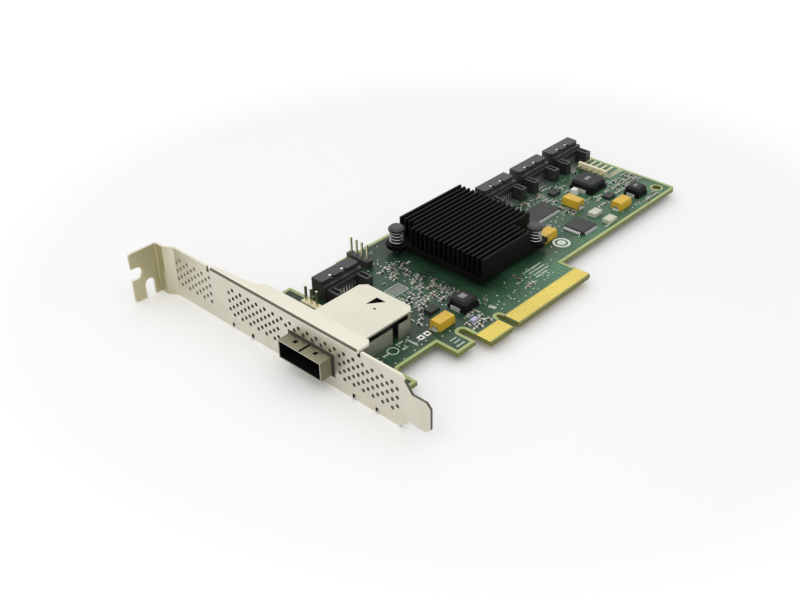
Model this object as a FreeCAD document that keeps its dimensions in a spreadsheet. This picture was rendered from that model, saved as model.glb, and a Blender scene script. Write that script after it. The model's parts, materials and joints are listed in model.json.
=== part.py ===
import FreeCAD, Part
import math
import os
import re
import Sketcher

# Storage controller card: a printed board with an edge connector, a vented bracket, an external
# port, a sprung cooler and four data sockets.
# Card frame: X runs from the bracket's outer face along the board, Y from the edge connector's
# contacts up to the bracket's foot, Z from the board's solder side to its component side.
# The part's own frame has the same axes, with its origin under the middle of the card.

sizes = {
    # board
    "board_length": 167.64, "board_width": 68.9, "board_thick": 1.57, "board_gap": 0.14,
    "shelf_back": 8.9, "long_edge": 11.6, "short_edge": 12.5, "corner_reach": 13.5, "corner_low": 3.9,
    "tab_start": 32.7, "tab_end": 41.0, "tab_low": 4.0, "corner_round": 1.6, "notch_margin": 1.6,
    "key_place": 56.33, "key_wide": 1.9, "key_deep": 8.0, "short_fingers": 11.65,
    "long_fingers": 38.65, "finger_bevel": 0.45, "far_hole_in": 5.0, "far_hole_up": 5.04,
    "far_hole_round": 1.7, "small_hole_x": 31.35, "small_hole_y": 17.7, "small_hole_gap": 2.85,
    "small_hole_round": 0.5,
    # bracket
    "sheet": 0.86, "bracket_low": -2.6, "bracket_width": 18.42, "bracket_length": 120.02,
    "foot_height": 105.86, "foot_reach": 12.4, "jog_start": 98.0, "jog_end": 101.5, "jog_deep": 2.1,
    "tail_low": 3.45, "tail_wide": 10.19, "tail_corner": 1.6, "shoulder_low": -2.3,
    "shoulder_high": -3.4, "shoulder_run": 4.0, "foot_slot_wide": 4.42, "foot_slot_deep": 4.0,
    "slot_middle": 7.9, "side_slot_start": 4.3, "side_slot_wide": 3.8, "side_slot_deep": 6.66,
    "flange_start": 13.4, "flange_end": 79.6, "flange_deep": 6.0, "flange_taper": 58.0,
    "flange_neck": 62.4, "flange_neck_deep": 3.3, "flange_tip": 1.7, "relief_wide": 1.3,
    "relief_deep": 1.9, "tab_width": 8.0, "tab_one": 6.8, "tab_two": 61.0, "tab_reach": 9.6,
    "tab_step": 1.9, "tab_screw_in": 6.6, "nose_play": 0.9, "bend_inside": 0.25,
    "jog_round": 1.2, "foot_round": 1.0, "vent_round": 0.7, "vent_first": -1.9,
    "vent_column": 1.905, "vent_columns": 53, "vent_top": 11.9, "vent_row": 1.525, "vent_rows": 7,
    "vent_blank_start": 71.5, "vent_blank_end": 79.0, "vent_clear_low": 2.0, "vent_clear_high": 4.6,
    # port
    "port_middle": 33.0, "nose_out": 4.9, "nose_wide": 18.2, "nose_low": 2.1, "nose_high": 6.5,
    "cage_wide": 22.2, "cage_deep": 32.3, "cage_top": 9.6, "cage_wall": 0.4, "cage_corner": 2.0,
    "insert_set": 9.4, "insert_play": 0.15, "insert_slot_wide": 13.0, "insert_slot_high": 1.5,
    "insert_slot_deep": 8.0, "port_pitch": 0.8, "port_contact_wide": 0.4, "port_contact_thick": 0.2,
    "gasket_set": 0.15, "nose_slit": 0.9, "latch_hole": 1.3, "latch_hole_in": 2.0,
    "latch_hole_side": 4.3, "latch_lip": 0.3, "side_slit_start": 10.6, "side_slit_end": 30.1,
    "side_slit_low": 7.2, "side_slit_high": 8.9, "side_gap_start": 23.2, "side_gap_wide": 2.6,
    "cage_window_x": 24.8, "cage_window_y": 30.9, "cage_window_long": 5.0, "cage_window_wide": 3.9,
    "cage_dimple": 0.9,
    # bracket screws
    "screw_round": 1.4, "screw_head_round": 2.7, "screw_head_high": 1.8, "screw_play": 0.15,
    "screw_length": 3.4, "screw_drive": 0.8,
    # data sockets
    "socket_one": 25.2, "socket_two": 107.5, "socket_pitch": 20.5, "socket_wide": 16.8,
    "socket_front": 0.2, "socket_deep": 6.3, "socket_top": 8.7, "socket_foot": 3.9,
    "socket_wall": 1.2, "mouth_deep": 4.6, "mouth_low": 2.7, "tongue_wide": 10.4,
    "tongue_thick": 1.2, "tongue_low": 4.4, "tongue_deep": 4.3, "tongue_key": 1.1, "window_wide": 1.3,
    "window_deep": 1.0, "window_in": 3.6, "window_one": 5.1, "window_two": 10.45,
    "groove_wide": 0.95, "groove_deep": 0.75, "ledge_back": 1.5, "ledge_drop": 1.4, "pad_round": 0.8,
    "arm_long": 5.4, "arm_wide": 2.8, "arm_slot": 1.2, "arm_high": 6.4, "arm_side": 0.5,
    "arm_slot_floor": 2.6, "arm_bar": 0.7, "step_back": 0.9,
    "contact_pitch": 1.27, "contact_wide": 0.6, "contact_thick": 0.25, "contact_tail": 4.2,
    # cooler
    "cooler_left": 65.0, "cooler_length": 35.5, "cooler_low": 21.2, "cooler_wide": 40.0,
    "cooler_under": 3.9, "cooler_plate": 1.5, "cooler_top": 12.3, "fin_thick": 0.8, "fin_count": 20,
    "ledge": 0.9, "pin_one_x": 63.6, "pin_one_y": 58.2, "pin_two_x": 96.0, "pin_two_y": 23.6,
    "corner_one": 3.4, "corner_one_wide": 7.2, "corner_two": 10.1, "corner_two_wide": 7.0,
    "lug_reach": 3.6, "pin_head_round": 2.85, "pin_head_thick": 1.5, "pin_top": 11.8,
    "pin_head_dome": 0.7,
    "pin_shank_round": 1.35, "pin_play": 0.15, "pin_barb": 1.9, "pin_below": 2.2, "spring_round": 2.2,
    "spring_wire": 0.35, "spring_turns": 3.5, "chip_wide": 31.0, "chip_thick": 1.2,
    "chip_cap_wide": 25.0, "chip_cap_thick": 0.8,
    # moulded parts
    "draft": 4.0, "lead_thick": 0.18, "chip_lift": 0.1,
    "capacitor_long": 7.3, "capacitor_wide": 4.3, "capacitor_high": 2.9, "terminal_wide": 2.4,
    "terminal_thick": 0.12, "terminal_high": 1.3,
    "capacitor_1_x": 40.9, "capacitor_1_y": 17.3, "capacitor_2_x": 105.2, "capacitor_2_y": 25.1,
    "capacitor_3_x": 131.6, "capacitor_3_y": 32.5, "capacitor_4_x": 142.4, "capacitor_4_y": 18.6,
    "inductor_high": 3.6, "inductor_1_x": 147.0, "inductor_1_y": 36.5, "inductor_1_wide": 10.6,
    "inductor_2_x": 53.5, "inductor_2_y": 19.5, "inductor_2_wide": 7.6,
    "inductor_3_x": 154.2, "inductor_3_y": 20.0, "inductor_3_wide": 6.6, "inductor_base": 1.3,
    "inductor_cut": 0.24, "inductor_top_bevel": 0.8,
    "memory_x": 117.0, "memory_y": 37.6, "memory_long": 15.7, "memory_wide": 8.0, "memory_high": 1.0,
    "memory_pitch": 0.8, "memory_leads": 18, "memory_lead_wide": 0.35,
    "logic_x": 119.4, "logic_y": 20.7, "logic_wide": 8.4, "logic_high": 1.2, "logic_pitch": 0.65,
    "logic_leads": 11, "logic_lead_wide": 0.3, "lead_out": 1.0, "lead_foot": 0.5,
    # headers
    "pin_wide": 0.64, "pin_pitch": 2.54, "header_base": 2.54, "header_x": 50.0, "header_y": 58.99,
    "header_pins": 4, "header_top": 10.1, "jumper_x": 19.5, "jumper_y": 51.3, "jumper_pins": 3,
    "jumper_top": 9.6, "side_header_x": 157.0, "side_header_y": 36.4, "side_header_pins": 5,
    "side_header_high": 2.3, "side_header_up": 0.9, "side_header_thick": 1.3,
    "side_header_out": 5.6, "side_header_back": 1.6, "pin_hole_play": 0.2, "pin_tail": 1.2,
    # small parts
    "ceramic_1_x": 130.9, "ceramic_1_y": 22.2, "ceramic_2_x": 130.4, "ceramic_2_y": 15.5,
    "ceramic_long": 4.8, "ceramic_wide": 3.4, "ceramic_high": 1.4, "clip_x": 138.7, "clip_y": 37.0,
    "clip_wide": 2.4, "clip_high": 2.2, "power_1_x": 133.6, "power_1_y": 42.6,
    "power_2_x": 145.2, "power_2_y": 25.8, "power_3_x": 44.4, "power_3_y": 24.8, "power_long": 4.4,
    "power_wide": 3.0, "power_high": 1.1,
}

# Sizes that others follow, written as sums of the sheet's words.
boardStart = "(sheet + board_gap)"
boardEnd = f"({boardStart} + board_length)"
shelf = "(board_width - shelf_back)"
bracketTop = "(bracket_low + bracket_width)"
tailTip = "(foot_height - bracket_length)"
tailLow = "(bracket_low + tail_low)"
noseLeft = "(port_middle - nose_wide / 2)"
noseTop = "(nose_low + nose_high)"
socketFront = f"({shelf} - socket_front)"
socketBack = f"({socketFront} - socket_deep)"
coolerFins = "(cooler_under + cooler_plate)"
finPitch = "((cooler_wide - fin_thick) / (fin_count - 1))"
keyLow = "(key_place - key_wide / 2)"
keyHigh = "(key_place + key_wide / 2)"
fingerStart = f"({keyLow} - short_fingers)"
fingerEnd = f"({keyHigh} + long_fingers)"

# From the card frame to the part's own frame: middle of the outline in X and Y, lowest edge in Z.
shifts = {
    "x": f"(foot_reach - {boardEnd}) / 2",
    "y": f"-(foot_height + {tailTip}) / 2",
    "z": "-bracket_low",
}

doc = FreeCAD.newDocument("controller_card")
sheet = doc.addObject("Spreadsheet::Sheet", "dims")
for row, (word, size) in enumerate(sizes.items(), start=1):
    sheet.set(f"A{row}", word)
    sheet.set(f"B{row}", str(size))
    sheet.setAlias(f"B{row}", word)
doc.recompute()
parts = []


def number(text):
    return float(sheet.evalExpression(str(text)))


def tied(text):
    return re.sub(r"[a-z]\w*", lambda word: f"dims.{word[0]}" if word[0] in sizes else word[0], str(text))


def seat(piece, label):
    # A finished sub-part: its label names its file, and it moves into the part's own frame.
    piece.Label = label
    for axis, shift in shifts.items():
        piece.setExpression(f"Placement.Base.{axis}", tied(shift))
    parts.append(piece)
    return piece


def new_body(name):
    return doc.addObject("PartDesign::Body", name)


def origin_part(body, role):
    return next(item for item in body.Origin.OriginFeatures if item.Role == role)


def new_sketch(body, role, level):
    # level is where the sketch's plane stands along the positive card axis.
    sketch = body.newObject("Sketcher::SketchObject", "sketch")
    sketch.AttachmentSupport = (origin_part(body, role), [""])
    sketch.MapMode = "FlatFace"
    sign = "-" if role == "XZ_Plane" else ""
    sketch.setExpression("AttachmentOffset.Base.z", tied(f"{sign}({level})"))
    return sketch


def outline(body, role, corners, level="0"):
    sketch = new_sketch(body, role, level)
    points = [FreeCAD.Vector(number(across), number(up), 0) for across, up in corners]
    count = len(points)
    sketch.addGeometry([Part.LineSegment(points[i], points[(i + 1) % count]) for i in range(count)], False)
    rules = [Sketcher.Constraint("Coincident", i, 2, (i + 1) % count, 1) for i in range(count)]
    for i, point in enumerate(points):
        rules.append(Sketcher.Constraint("DistanceX", -1, 1, i, 1, point.x))
        rules.append(Sketcher.Constraint("DistanceY", -1, 1, i, 1, point.y))
    sketch.addConstraint(rules)
    for i, corner in enumerate(corners):
        sketch.setExpression(f"Constraints[{count + 2 * i}]", tied(corner[0]))
        sketch.setExpression(f"Constraints[{count + 2 * i + 1}]", tied(corner[1]))
    return sketch


def rectangle(body, role, low, high, level="0"):
    return outline(body, role, [low, (high[0], low[1]), high, (low[0], high[1])], level)


def octagon(body, role, middle, half, level="0", cut="1 - tan(22.5)"):
    # A square of half width half with its four corners cut: eight equal sides unless cut says less.
    corners = []
    for across, up, order in ((1, -1, 1), (1, 1, -1), (-1, 1, 1), (-1, -1, -1)):
        kept = f"({half}) * (1 - ({cut}))"
        low = (f"{middle[0]} + ({across}) * {kept}", f"{middle[1]} + ({up}) * ({half})")
        side = (f"{middle[0]} + ({across}) * ({half})", f"{middle[1]} + ({up}) * {kept}")
        corners += [low, side][::order]
    return outline(body, role, corners, level)


def circles(body, role, centres, radius, level="0"):
    sketch = new_sketch(body, role, level)
    normal = FreeCAD.Vector(0, 0, 1)
    points = [FreeCAD.Vector(number(across), number(up), 0) for across, up in centres]
    sketch.addGeometry([Part.Circle(point, normal, number(radius)) for point in points], False)
    rules = []
    for i, point in enumerate(points):
        rules.append(Sketcher.Constraint("DistanceX", -1, 1, i, 3, point.x))
        rules.append(Sketcher.Constraint("DistanceY", -1, 1, i, 3, point.y))
        rules.append(Sketcher.Constraint("Radius", i, number(radius)))
    sketch.addConstraint(rules)
    for i, centre in enumerate(centres):
        sketch.setExpression(f"Constraints[{3 * i}]", tied(centre[0]))
        sketch.setExpression(f"Constraints[{3 * i + 1}]", tied(centre[1]))
        sketch.setExpression(f"Constraints[{3 * i + 2}]", tied(radius))
    return sketch


def pad(body, sketch, length, taper=None):
    # Pads towards the positive card axis.
    feature = body.newObject("PartDesign::Pad", "pad")
    feature.Profile = sketch
    feature.setExpression("Length", tied(length))
    role = sketch.AttachmentSupport[0][0].Role
    feature.Reversed = role == "XZ_Plane"
    if taper:
        feature.setExpression("TaperAngle", tied(taper))
    return feature


def pocket(body, sketch, length):
    # Cuts towards the positive card axis, and must take material away.
    doc.recompute()
    before = body.Tip.Shape.Volume
    feature = body.newObject("PartDesign::Pocket", "pocket")
    feature.Profile = sketch
    feature.setExpression("Length", tied(length))
    role = sketch.AttachmentSupport[0][0].Role
    feature.Reversed = role != "XZ_Plane"
    doc.recompute()
    if not feature.Shape.Volume < before - 1e-6:
        raise RuntimeError(f"{body.Name}: {feature.Name} removes nothing")
    return feature


def row_of(body, feature, axis, count, pitch):
    pattern = body.newObject("PartDesign::LinearPattern", "pattern")
    pattern.Originals = [feature]
    pattern.Direction = (origin_part(body, f"{axis}_Axis"), [""])
    pattern.Mode = "Spacing"
    pattern.setExpression("Occurrences", tied(count))
    pattern.setExpression("Offset", tied(pitch))
    body.Tip = pattern
    return pattern


def edges_near(body, places, direction):
    # Names of the straight edges along direction that pass the given places.
    found = []
    for index, edge in enumerate(body.Tip.Shape.Edges, start=1):
        run = edge.Vertexes[-1].Point - edge.Vertexes[0].Point
        if run.Length < 1e-6 or abs(abs(run.normalize() * direction) - 1) > 1e-6:
            continue
        if any(edge.distToShape(Part.Vertex(place))[0] < 0.01 for place in places):
            found.append(f"Edge{index}")
    return found


def soften(body, kind, names, size, prop):
    # A fillet or chamfer on named edges of the body's last feature.
    feature = body.newObject(f"PartDesign::{kind}", kind.lower())
    feature.Base = (body.Tip if body.Tip is not feature else feature.BaseFeature, names)
    feature.setExpression(prop, tied(size))
    doc.recompute()
    return feature


def block(name, low, size):
    box = doc.addObject("Part::Box", name)
    for axis, start in zip("xyz", low):
        box.setExpression(f"Placement.Base.{axis}", tied(start))
    for prop, length in zip(("Length", "Width", "Height"), size):
        box.setExpression(prop, tied(length))
    return box


def group(name, members):
    compound = doc.addObject("Part::Compound", name)
    compound.Links = members
    return compound


def moulded(name, middle, size, level="board_thick"):
    # A block with drafted sides, as a moulded package has, standing on the board.
    body = new_body(name)
    (x, y), (long, wide, high) = middle, size
    low = (f"{x} - ({long}) / 2", f"{y} - ({wide}) / 2")
    top = (f"{x} + ({long}) / 2", f"{y} + ({wide}) / 2")
    pad(body, rectangle(body, "XY_Plane", low, top, level), high, "-draft")
    return body


def board():
    body = new_body("circuit_board")
    socketNotch = ("socket_one - notch_margin", "socket_one + socket_wide + notch_margin + 1")
    corners = [
        (boardStart, "corner_low"),
        (f"{boardStart} + corner_reach", "corner_low"),
        (f"{boardStart} + corner_reach", "short_edge"),
        ("tab_start", "short_edge"),
        ("tab_start", "tab_low"),
        ("tab_end", "tab_low"),
        ("tab_end", "long_edge"),
        (fingerStart, "long_edge"),
        (fingerStart, "0"),
        (keyLow, "0"),
        (keyLow, "key_deep"),
        (keyHigh, "key_deep"),
        (keyHigh, "0"),
        (fingerEnd, "0"),
        (fingerEnd, "long_edge"),
        (boardEnd, "long_edge"),
        (boardEnd, shelf),
        ("socket_two - notch_margin", shelf),
        ("socket_two - notch_margin", "board_width"),
        (socketNotch[1], "board_width"),
        (socketNotch[1], shelf),
        (socketNotch[0], shelf),
        (socketNotch[0], "board_width"),
        (boardStart, "board_width"),
    ]
    pad(body, outline(body, "XY_Plane", corners), "board_thick")
    smallHoles = [("small_hole_x", "small_hole_y"), ("small_hole_x + small_hole_gap", "small_hole_y")]
    screwHoles = [("tab_screw_in", "tab_one + tab_width / 2"), ("tab_screw_in", "tab_two + tab_width / 2")]
    coolerHoles = [("pin_one_x", "pin_one_y"), ("pin_two_x", "pin_two_y")]
    farHole = [(f"{boardEnd} - far_hole_in", "long_edge + far_hole_up")]
    for header in ("header", "jumper"):
        middle = (f"{header}_x", f"{header}_y")
        hole = octagon(body, "XY_Plane", middle, "pin_wide * 0.71 + pin_hole_play")
        row_of(body, pocket(body, hole, "board_thick"), "Y", f"{header}_pins", "pin_pitch")
    for centres, half in (
        (smallHoles, "small_hole_round"),
        (screwHoles, "screw_round + screw_play"),
        (coolerHoles, "pin_shank_round + pin_play"),
    ):
        for middle in centres:
            pocket(body, octagon(body, "XY_Plane", middle, half), "board_thick")
    pocket(body, circles(body, "XY_Plane", farHole, "far_hole_round"), "board_thick")
    up = FreeCAD.Vector(0, 0, 1)
    slotEnds = [(number(x), number("long_edge")) for x in ("tab_end", fingerStart)]
    keyEnds = [(number(x), number("key_deep")) for x in (keyLow, keyHigh)]
    outer = [(number(boardEnd), number(y)) for y in ("long_edge", shelf)]
    outer.append((number(f"{boardStart} + corner_reach"), number("short_edge")))
    for ends, size in (
        (slotEnds, f"({fingerStart} - tab_end) * 0.45"),
        (keyEnds, "key_wide * 0.45"),
        (outer, "corner_round"),
    ):
        places = [FreeCAD.Vector(x, y, number("board_thick / 2")) for x, y in ends]
        soften(body, "Fillet", edges_near(body, places, up), size, "Radius")
    bevels = [FreeCAD.Vector(number(x), 0, number(z))
              for x in (f"{fingerStart} + 2", f"{fingerEnd} - 2") for z in ("0", "board_thick")]
    soften(body, "Chamfer", edges_near(body, bevels, FreeCAD.Vector(1, 0, 0)), "finger_bevel", "Size")
    return seat(body, "circuit_board")


def relief(start):
    # A small square notch in the bracket's lower edge, beside a folded tab.
    return [(start, "bracket_low"), (start, "bracket_low + relief_deep"),
            (f"{start} + relief_wide", "bracket_low + relief_deep"), (f"{start} + relief_wide", "bracket_low")]


def bracket():
    body = new_body("folded_sheet")
    plate = [
        (tailTip, f"{tailLow} + tail_corner"),
        (f"{tailTip} + tail_corner", tailLow),
        ("shoulder_low - shoulder_run", tailLow),
        ("shoulder_low", "bracket_low"),
        *relief("tab_one - relief_wide"),
        *relief("tab_one + tab_width"),
        *relief("tab_two - relief_wide"),
        *relief("tab_two + tab_width"),
        ("jog_start", "bracket_low"),
        ("jog_start", bracketTop),
        ("flange_end + relief_wide", bracketTop),
        ("flange_end + relief_wide", f"{bracketTop} - relief_deep"),
        ("flange_end", f"{bracketTop} - relief_deep"),
        ("flange_end", bracketTop),
        ("flange_start", bracketTop),
        ("flange_start", f"{bracketTop} - relief_deep"),
        ("flange_start - relief_wide", f"{bracketTop} - relief_deep"),
        ("flange_start - relief_wide", bracketTop),
        ("shoulder_high", bracketTop),
        ("shoulder_high - shoulder_run", f"{tailLow} + tail_wide"),
        (f"{tailTip} + tail_corner", f"{tailLow} + tail_wide"),
        (tailTip, f"{tailLow} + tail_wide - tail_corner"),
    ]
    pad(body, outline(body, "YZ_Plane", plate), "sheet")
    foot = [
        ("0", "jog_start"),
        ("-jog_deep", "jog_end"),
        ("-jog_deep", "foot_height - sheet"),
        ("-foot_reach", "foot_height - sheet"),
        ("-foot_reach", "foot_height"),
        ("sheet - jog_deep", "foot_height"),
        ("sheet - jog_deep", "jog_end"),
        ("sheet", "jog_start"),
    ]
    pad(body, outline(body, "XY_Plane", foot, "bracket_low"), "bracket_width")
    flange = [
        ("0", "flange_start"),
        ("flange_deep - 1.2", "flange_start"),
        ("flange_deep", "flange_start + 1.2"),
        ("flange_deep", "flange_taper"),
        ("flange_neck_deep", "flange_neck"),
        ("flange_tip", "flange_end"),
        ("0", "flange_end"),
    ]
    pad(body, outline(body, "XY_Plane", flange, f"{bracketTop} - sheet"), "sheet")
    tab = [
        ("0", "bracket_low"),
        ("tab_step", "bracket_low"),
        ("tab_step + 1.6", "-sheet"),
        ("tab_reach", "-sheet"),
        ("tab_reach", "0"),
        ("tab_step + 1.2", "0"),
        ("tab_step - 0.4", "bracket_low + sheet"),
        ("0", "bracket_low + sheet"),
    ]
    for start in ("tab_one", "tab_two"):
        pad(body, outline(body, "XZ_Plane", tab, start), "tab_width")
    tabHoles = [("tab_screw_in", "tab_one + tab_width / 2"), ("tab_screw_in", "tab_two + tab_width / 2")]
    for middle in tabHoles:
        pocket(body, octagon(body, "XY_Plane", middle, "screw_round + screw_play / 2", "-sheet"), "sheet")
    low = (f"{noseLeft} - nose_play", "nose_low - nose_play")
    high = (f"{noseLeft} + nose_wide + nose_play", f"{noseTop} + nose_play")
    pocket(body, rectangle(body, "YZ_Plane", low, high), "sheet")
    slotEnd = "foot_slot_deep - foot_slot_wide / 2 - foot_reach"
    middle = "slot_middle"
    low = ("-foot_reach - 1", f"{middle} - foot_slot_wide / 2")
    high = (slotEnd, f"{middle} + foot_slot_wide / 2")
    under = "foot_height - sheet"
    pocket(body, rectangle(body, "XZ_Plane", low, high, under), "sheet")
    pocket(body, circles(body, "XZ_Plane", [(slotEnd, middle)], "foot_slot_wide / 2", under), "sheet")
    notchTop = "bracket_low + side_slot_deep - side_slot_wide / 2"
    low = ("-side_slot_start - side_slot_wide", "bracket_low - 1")
    high = ("-side_slot_start", notchTop)
    pocket(body, rectangle(body, "XZ_Plane", low, high, under), "sheet")
    notchMiddle = [("-side_slot_start - side_slot_wide / 2", notchTop)]
    pocket(body, circles(body, "XZ_Plane", notchMiddle, "side_slot_wide / 2", under), "sheet")
    folds(body)
    punches = [punch for level in range(int(sizes["vent_rows"])) for punch in vent_punches(level)]
    vented = doc.addObject("Part::Cut", "vented_bracket")
    vented.Base = body
    vented.Tool = group("vent_punches", punches)
    vented.Refine = False
    return seat(vented, "bracket")


def folds(body):
    # The sheet's folds, rounded inside and outside about the same centre, and the foot's corners.
    inside, outside = "bend_inside", "bend_inside + sheet"
    flange = "(flange_start + flange_taper) / 2"
    jogs = [(x, y, "slot_middle") for x, y in (
        ("0", "jog_start"), ("sheet", "jog_start"), ("-jog_deep", "jog_end"), ("sheet - jog_deep", "jog_end"))]
    tips = [("-foot_reach", "foot_height - sheet / 2", z) for z in ("bracket_low", bracketTop)]
    for direction, corners, size in (
        ((0, 1, 0), [("0", flange, bracketTop)], outside),
        ((0, 1, 0), [("sheet", flange, f"{bracketTop} - sheet")], inside),
        ((0, 0, 1), [("sheet - jog_deep", "foot_height", "slot_middle")], outside),
        ((0, 0, 1), [("-jog_deep", "foot_height - sheet", "bracket_low + side_slot_deep + 1")], inside),
        ((0, 0, 1), jogs, "jog_round"),
        ((0, 1, 0), tips, "foot_round"),
    ):
        places = [FreeCAD.Vector(*(number(part) for part in corner)) for corner in corners]
        soften(body, "Fillet", edges_near(body, places, FreeCAD.Vector(*direction)), size, "Radius")


def vent_punches(level):
    # One level of the staggered grille: an eight-sided punch in every other column, but for the
    # columns at the port's opening and in the blank stretch beside the foot's group.
    height = f"(vent_top - {level} * vent_row)"
    overNose = number(f"{height} - vent_round - {noseTop} - nose_play") > 0
    low = number(f"{noseLeft} - vent_clear_low")
    high = number(f"{noseLeft} + nose_wide + vent_clear_high")
    punches = []
    for column in range(1 - level % 2, int(sizes["vent_columns"]), 2):
        place = number(f"vent_first + {column} * vent_column")
        blank = sizes["vent_blank_start"] < place < sizes["vent_blank_end"]
        if blank or (low < place < high and not overNose):
            continue
        punch = doc.addObject("Part::Prism", "vent_punch")
        punch.Polygon = 8
        punch.Placement.Rotation = FreeCAD.Rotation(FreeCAD.Vector(0, 1, 0), 90)
        punch.setExpression("Circumradius", tied("vent_round"))
        punch.setExpression("Height", tied("3 * sheet"))
        punch.setExpression("Placement.Base.x", tied("-sheet"))
        punch.setExpression("Placement.Base.y", tied(f"vent_first + {column} * vent_column"))
        punch.setExpression("Placement.Base.z", tied(height))
        punches.append(punch)
    return punches


def port():
    cage = new_body("port_cage")
    cageLow = "port_middle - cage_wide / 2"
    cageHigh = "port_middle + cage_wide / 2"
    back = f"{boardStart} + cage_deep"
    shell = [
        (boardStart, cageLow),
        (f"{back} - cage_corner", cageLow),
        (back, f"{cageLow} + cage_corner"),
        (back, f"{cageHigh} - cage_corner"),
        (f"{back} - cage_corner", cageHigh),
        (boardStart, cageHigh),
    ]
    pad(cage, outline(cage, "XY_Plane", shell, "board_thick"), "cage_top - board_thick")
    inside = [
        (f"{boardStart} + cage_wall", f"{cageLow} + cage_wall"),
        (f"{back} - cage_corner - cage_wall / 2", f"{cageLow} + cage_wall"),
        (f"{back} - cage_wall", f"{cageLow} + cage_corner + cage_wall / 2"),
        (f"{back} - cage_wall", f"{cageHigh} - cage_corner - cage_wall / 2"),
        (f"{back} - cage_corner - cage_wall / 2", f"{cageHigh} - cage_wall"),
        (f"{boardStart} + cage_wall", f"{cageHigh} - cage_wall"),
    ]
    pocket(cage, outline(cage, "XY_Plane", inside, "board_thick"), "cage_top - cage_wall - board_thick")
    low = (noseLeft, "nose_low")
    high = (f"{noseLeft} + nose_wide", noseTop)
    pad(cage, rectangle(cage, "YZ_Plane", low, high, "-nose_out"), f"nose_out + {boardStart} + cage_wall")
    low = (f"{noseLeft} + cage_wall", "nose_low + cage_wall")
    high = (f"{noseLeft} + nose_wide - cage_wall", f"{noseTop} - cage_wall")
    cavity = rectangle(cage, "YZ_Plane", low, high, "-nose_out")
    pocket(cage, cavity, f"nose_out + {boardStart} + cage_wall")
    nose_flaps(cage)
    cage_windows(cage, cageLow)
    seat(cage, "port_cage")

    insert = new_body("port_insert")
    wide = "(nose_wide - 2 * cage_wall - 2 * insert_play)"
    start = "(insert_set - nose_out)"
    low = (start, f"port_middle - {wide} / 2")
    high = (f"{back} - cage_corner - 1", f"port_middle + {wide} / 2")
    top = f"({noseTop} - cage_wall - insert_play)"
    pad(insert, rectangle(insert, "XY_Plane", low, high, "board_thick"), f"{top} - board_thick")
    slotLow = "(nose_low + (nose_high - insert_slot_high) / 2)"
    low = ("port_middle - insert_slot_wide / 2", slotLow)
    high = ("port_middle + insert_slot_wide / 2", f"{slotLow} + insert_slot_high")
    pocket(insert, rectangle(insert, "YZ_Plane", low, high, start), "insert_slot_deep")
    seat(insert, "port_insert")

    rows = []
    for name, level in (("low", slotLow), ("high", f"{slotLow} + insert_slot_high - port_contact_thick")):
        row = new_body(f"port_contact_{name}")
        first = "port_middle - 6 * port_pitch - port_contact_wide / 2"
        corner = (f"{start} + 0.6", first)
        far = (f"{start} + insert_slot_deep", f"{first} + port_contact_wide")
        strip = pad(row, rectangle(row, "XY_Plane", corner, far, level), "port_contact_thick")
        row_of(row, strip, "Y", "13", "port_pitch")
        rows.append(row)
    seat(group("port_contact_rows", rows), "port_contacts")

    # A ring that fills the gap between the nose and the bracket's opening.
    gasket = new_body("emi_gasket")
    low = (f"{noseLeft} - nose_play", "nose_low - nose_play")
    high = (f"{noseLeft} + nose_wide + nose_play", f"{noseTop} + nose_play")
    pad(gasket, rectangle(gasket, "YZ_Plane", low, high, "gasket_set"), "sheet - 2 * gasket_set")
    low = (noseLeft, "nose_low")
    high = (f"{noseLeft} + nose_wide", noseTop)
    pocket(gasket, rectangle(gasket, "YZ_Plane", low, high, "gasket_set"), "sheet - 2 * gasket_set")
    seat(gasket, "emi_gasket")


def nose_flaps(cage):
    # A slit parts the nose's top into two flaps, each with a latch hole and a raised lip behind it.
    wall = f"{noseTop} - cage_wall"
    low = ("-nose_out", "port_middle - nose_slit / 2")
    high = ("-gasket_set", "port_middle + nose_slit / 2")
    pocket(cage, rectangle(cage, "XY_Plane", low, high, wall), "cage_wall")
    for side in ("-1", "1"):
        start = "(latch_hole_in - nose_out)"
        first = f"(port_middle + ({side}) * latch_hole_side - latch_hole / 2)"
        far = (f"{start} + latch_hole", f"{first} + latch_hole")
        pocket(cage, rectangle(cage, "XY_Plane", (start, first), far, wall), "cage_wall")
        lip = rectangle(cage, "XY_Plane", (far[0], first), (f"{far[0]} + latch_lip", far[1]), noseTop)
        pad(cage, lip, "latch_lip")


def cage_windows(cage, cageLow):
    # Side slits with a gap under each, and a three-cornered window and a small hole in the roof.
    low = ("side_slit_start", "side_slit_low")
    high = ("side_slit_end", "side_slit_high")
    pocket(cage, rectangle(cage, "XZ_Plane", low, high, cageLow), "cage_wide")
    low = ("side_gap_start", "board_thick")
    high = ("side_gap_start + side_gap_wide", "side_slit_low + 0.1")
    pocket(cage, rectangle(cage, "XZ_Plane", low, high, cageLow), "cage_wide")
    roof = "cage_top - cage_wall"
    window = [
        ("cage_window_x", "cage_window_y + cage_window_wide"),
        ("cage_window_x + cage_window_long", "cage_window_y"),
        ("cage_window_x + cage_window_long", "cage_window_y + cage_window_wide"),
    ]
    pocket(cage, outline(cage, "XY_Plane", window, roof), "cage_wall")
    middle = ("cage_window_x", "cage_window_y")
    pocket(cage, octagon(cage, "XY_Plane", middle, "cage_dimple / 2", roof), "cage_wall")


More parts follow.
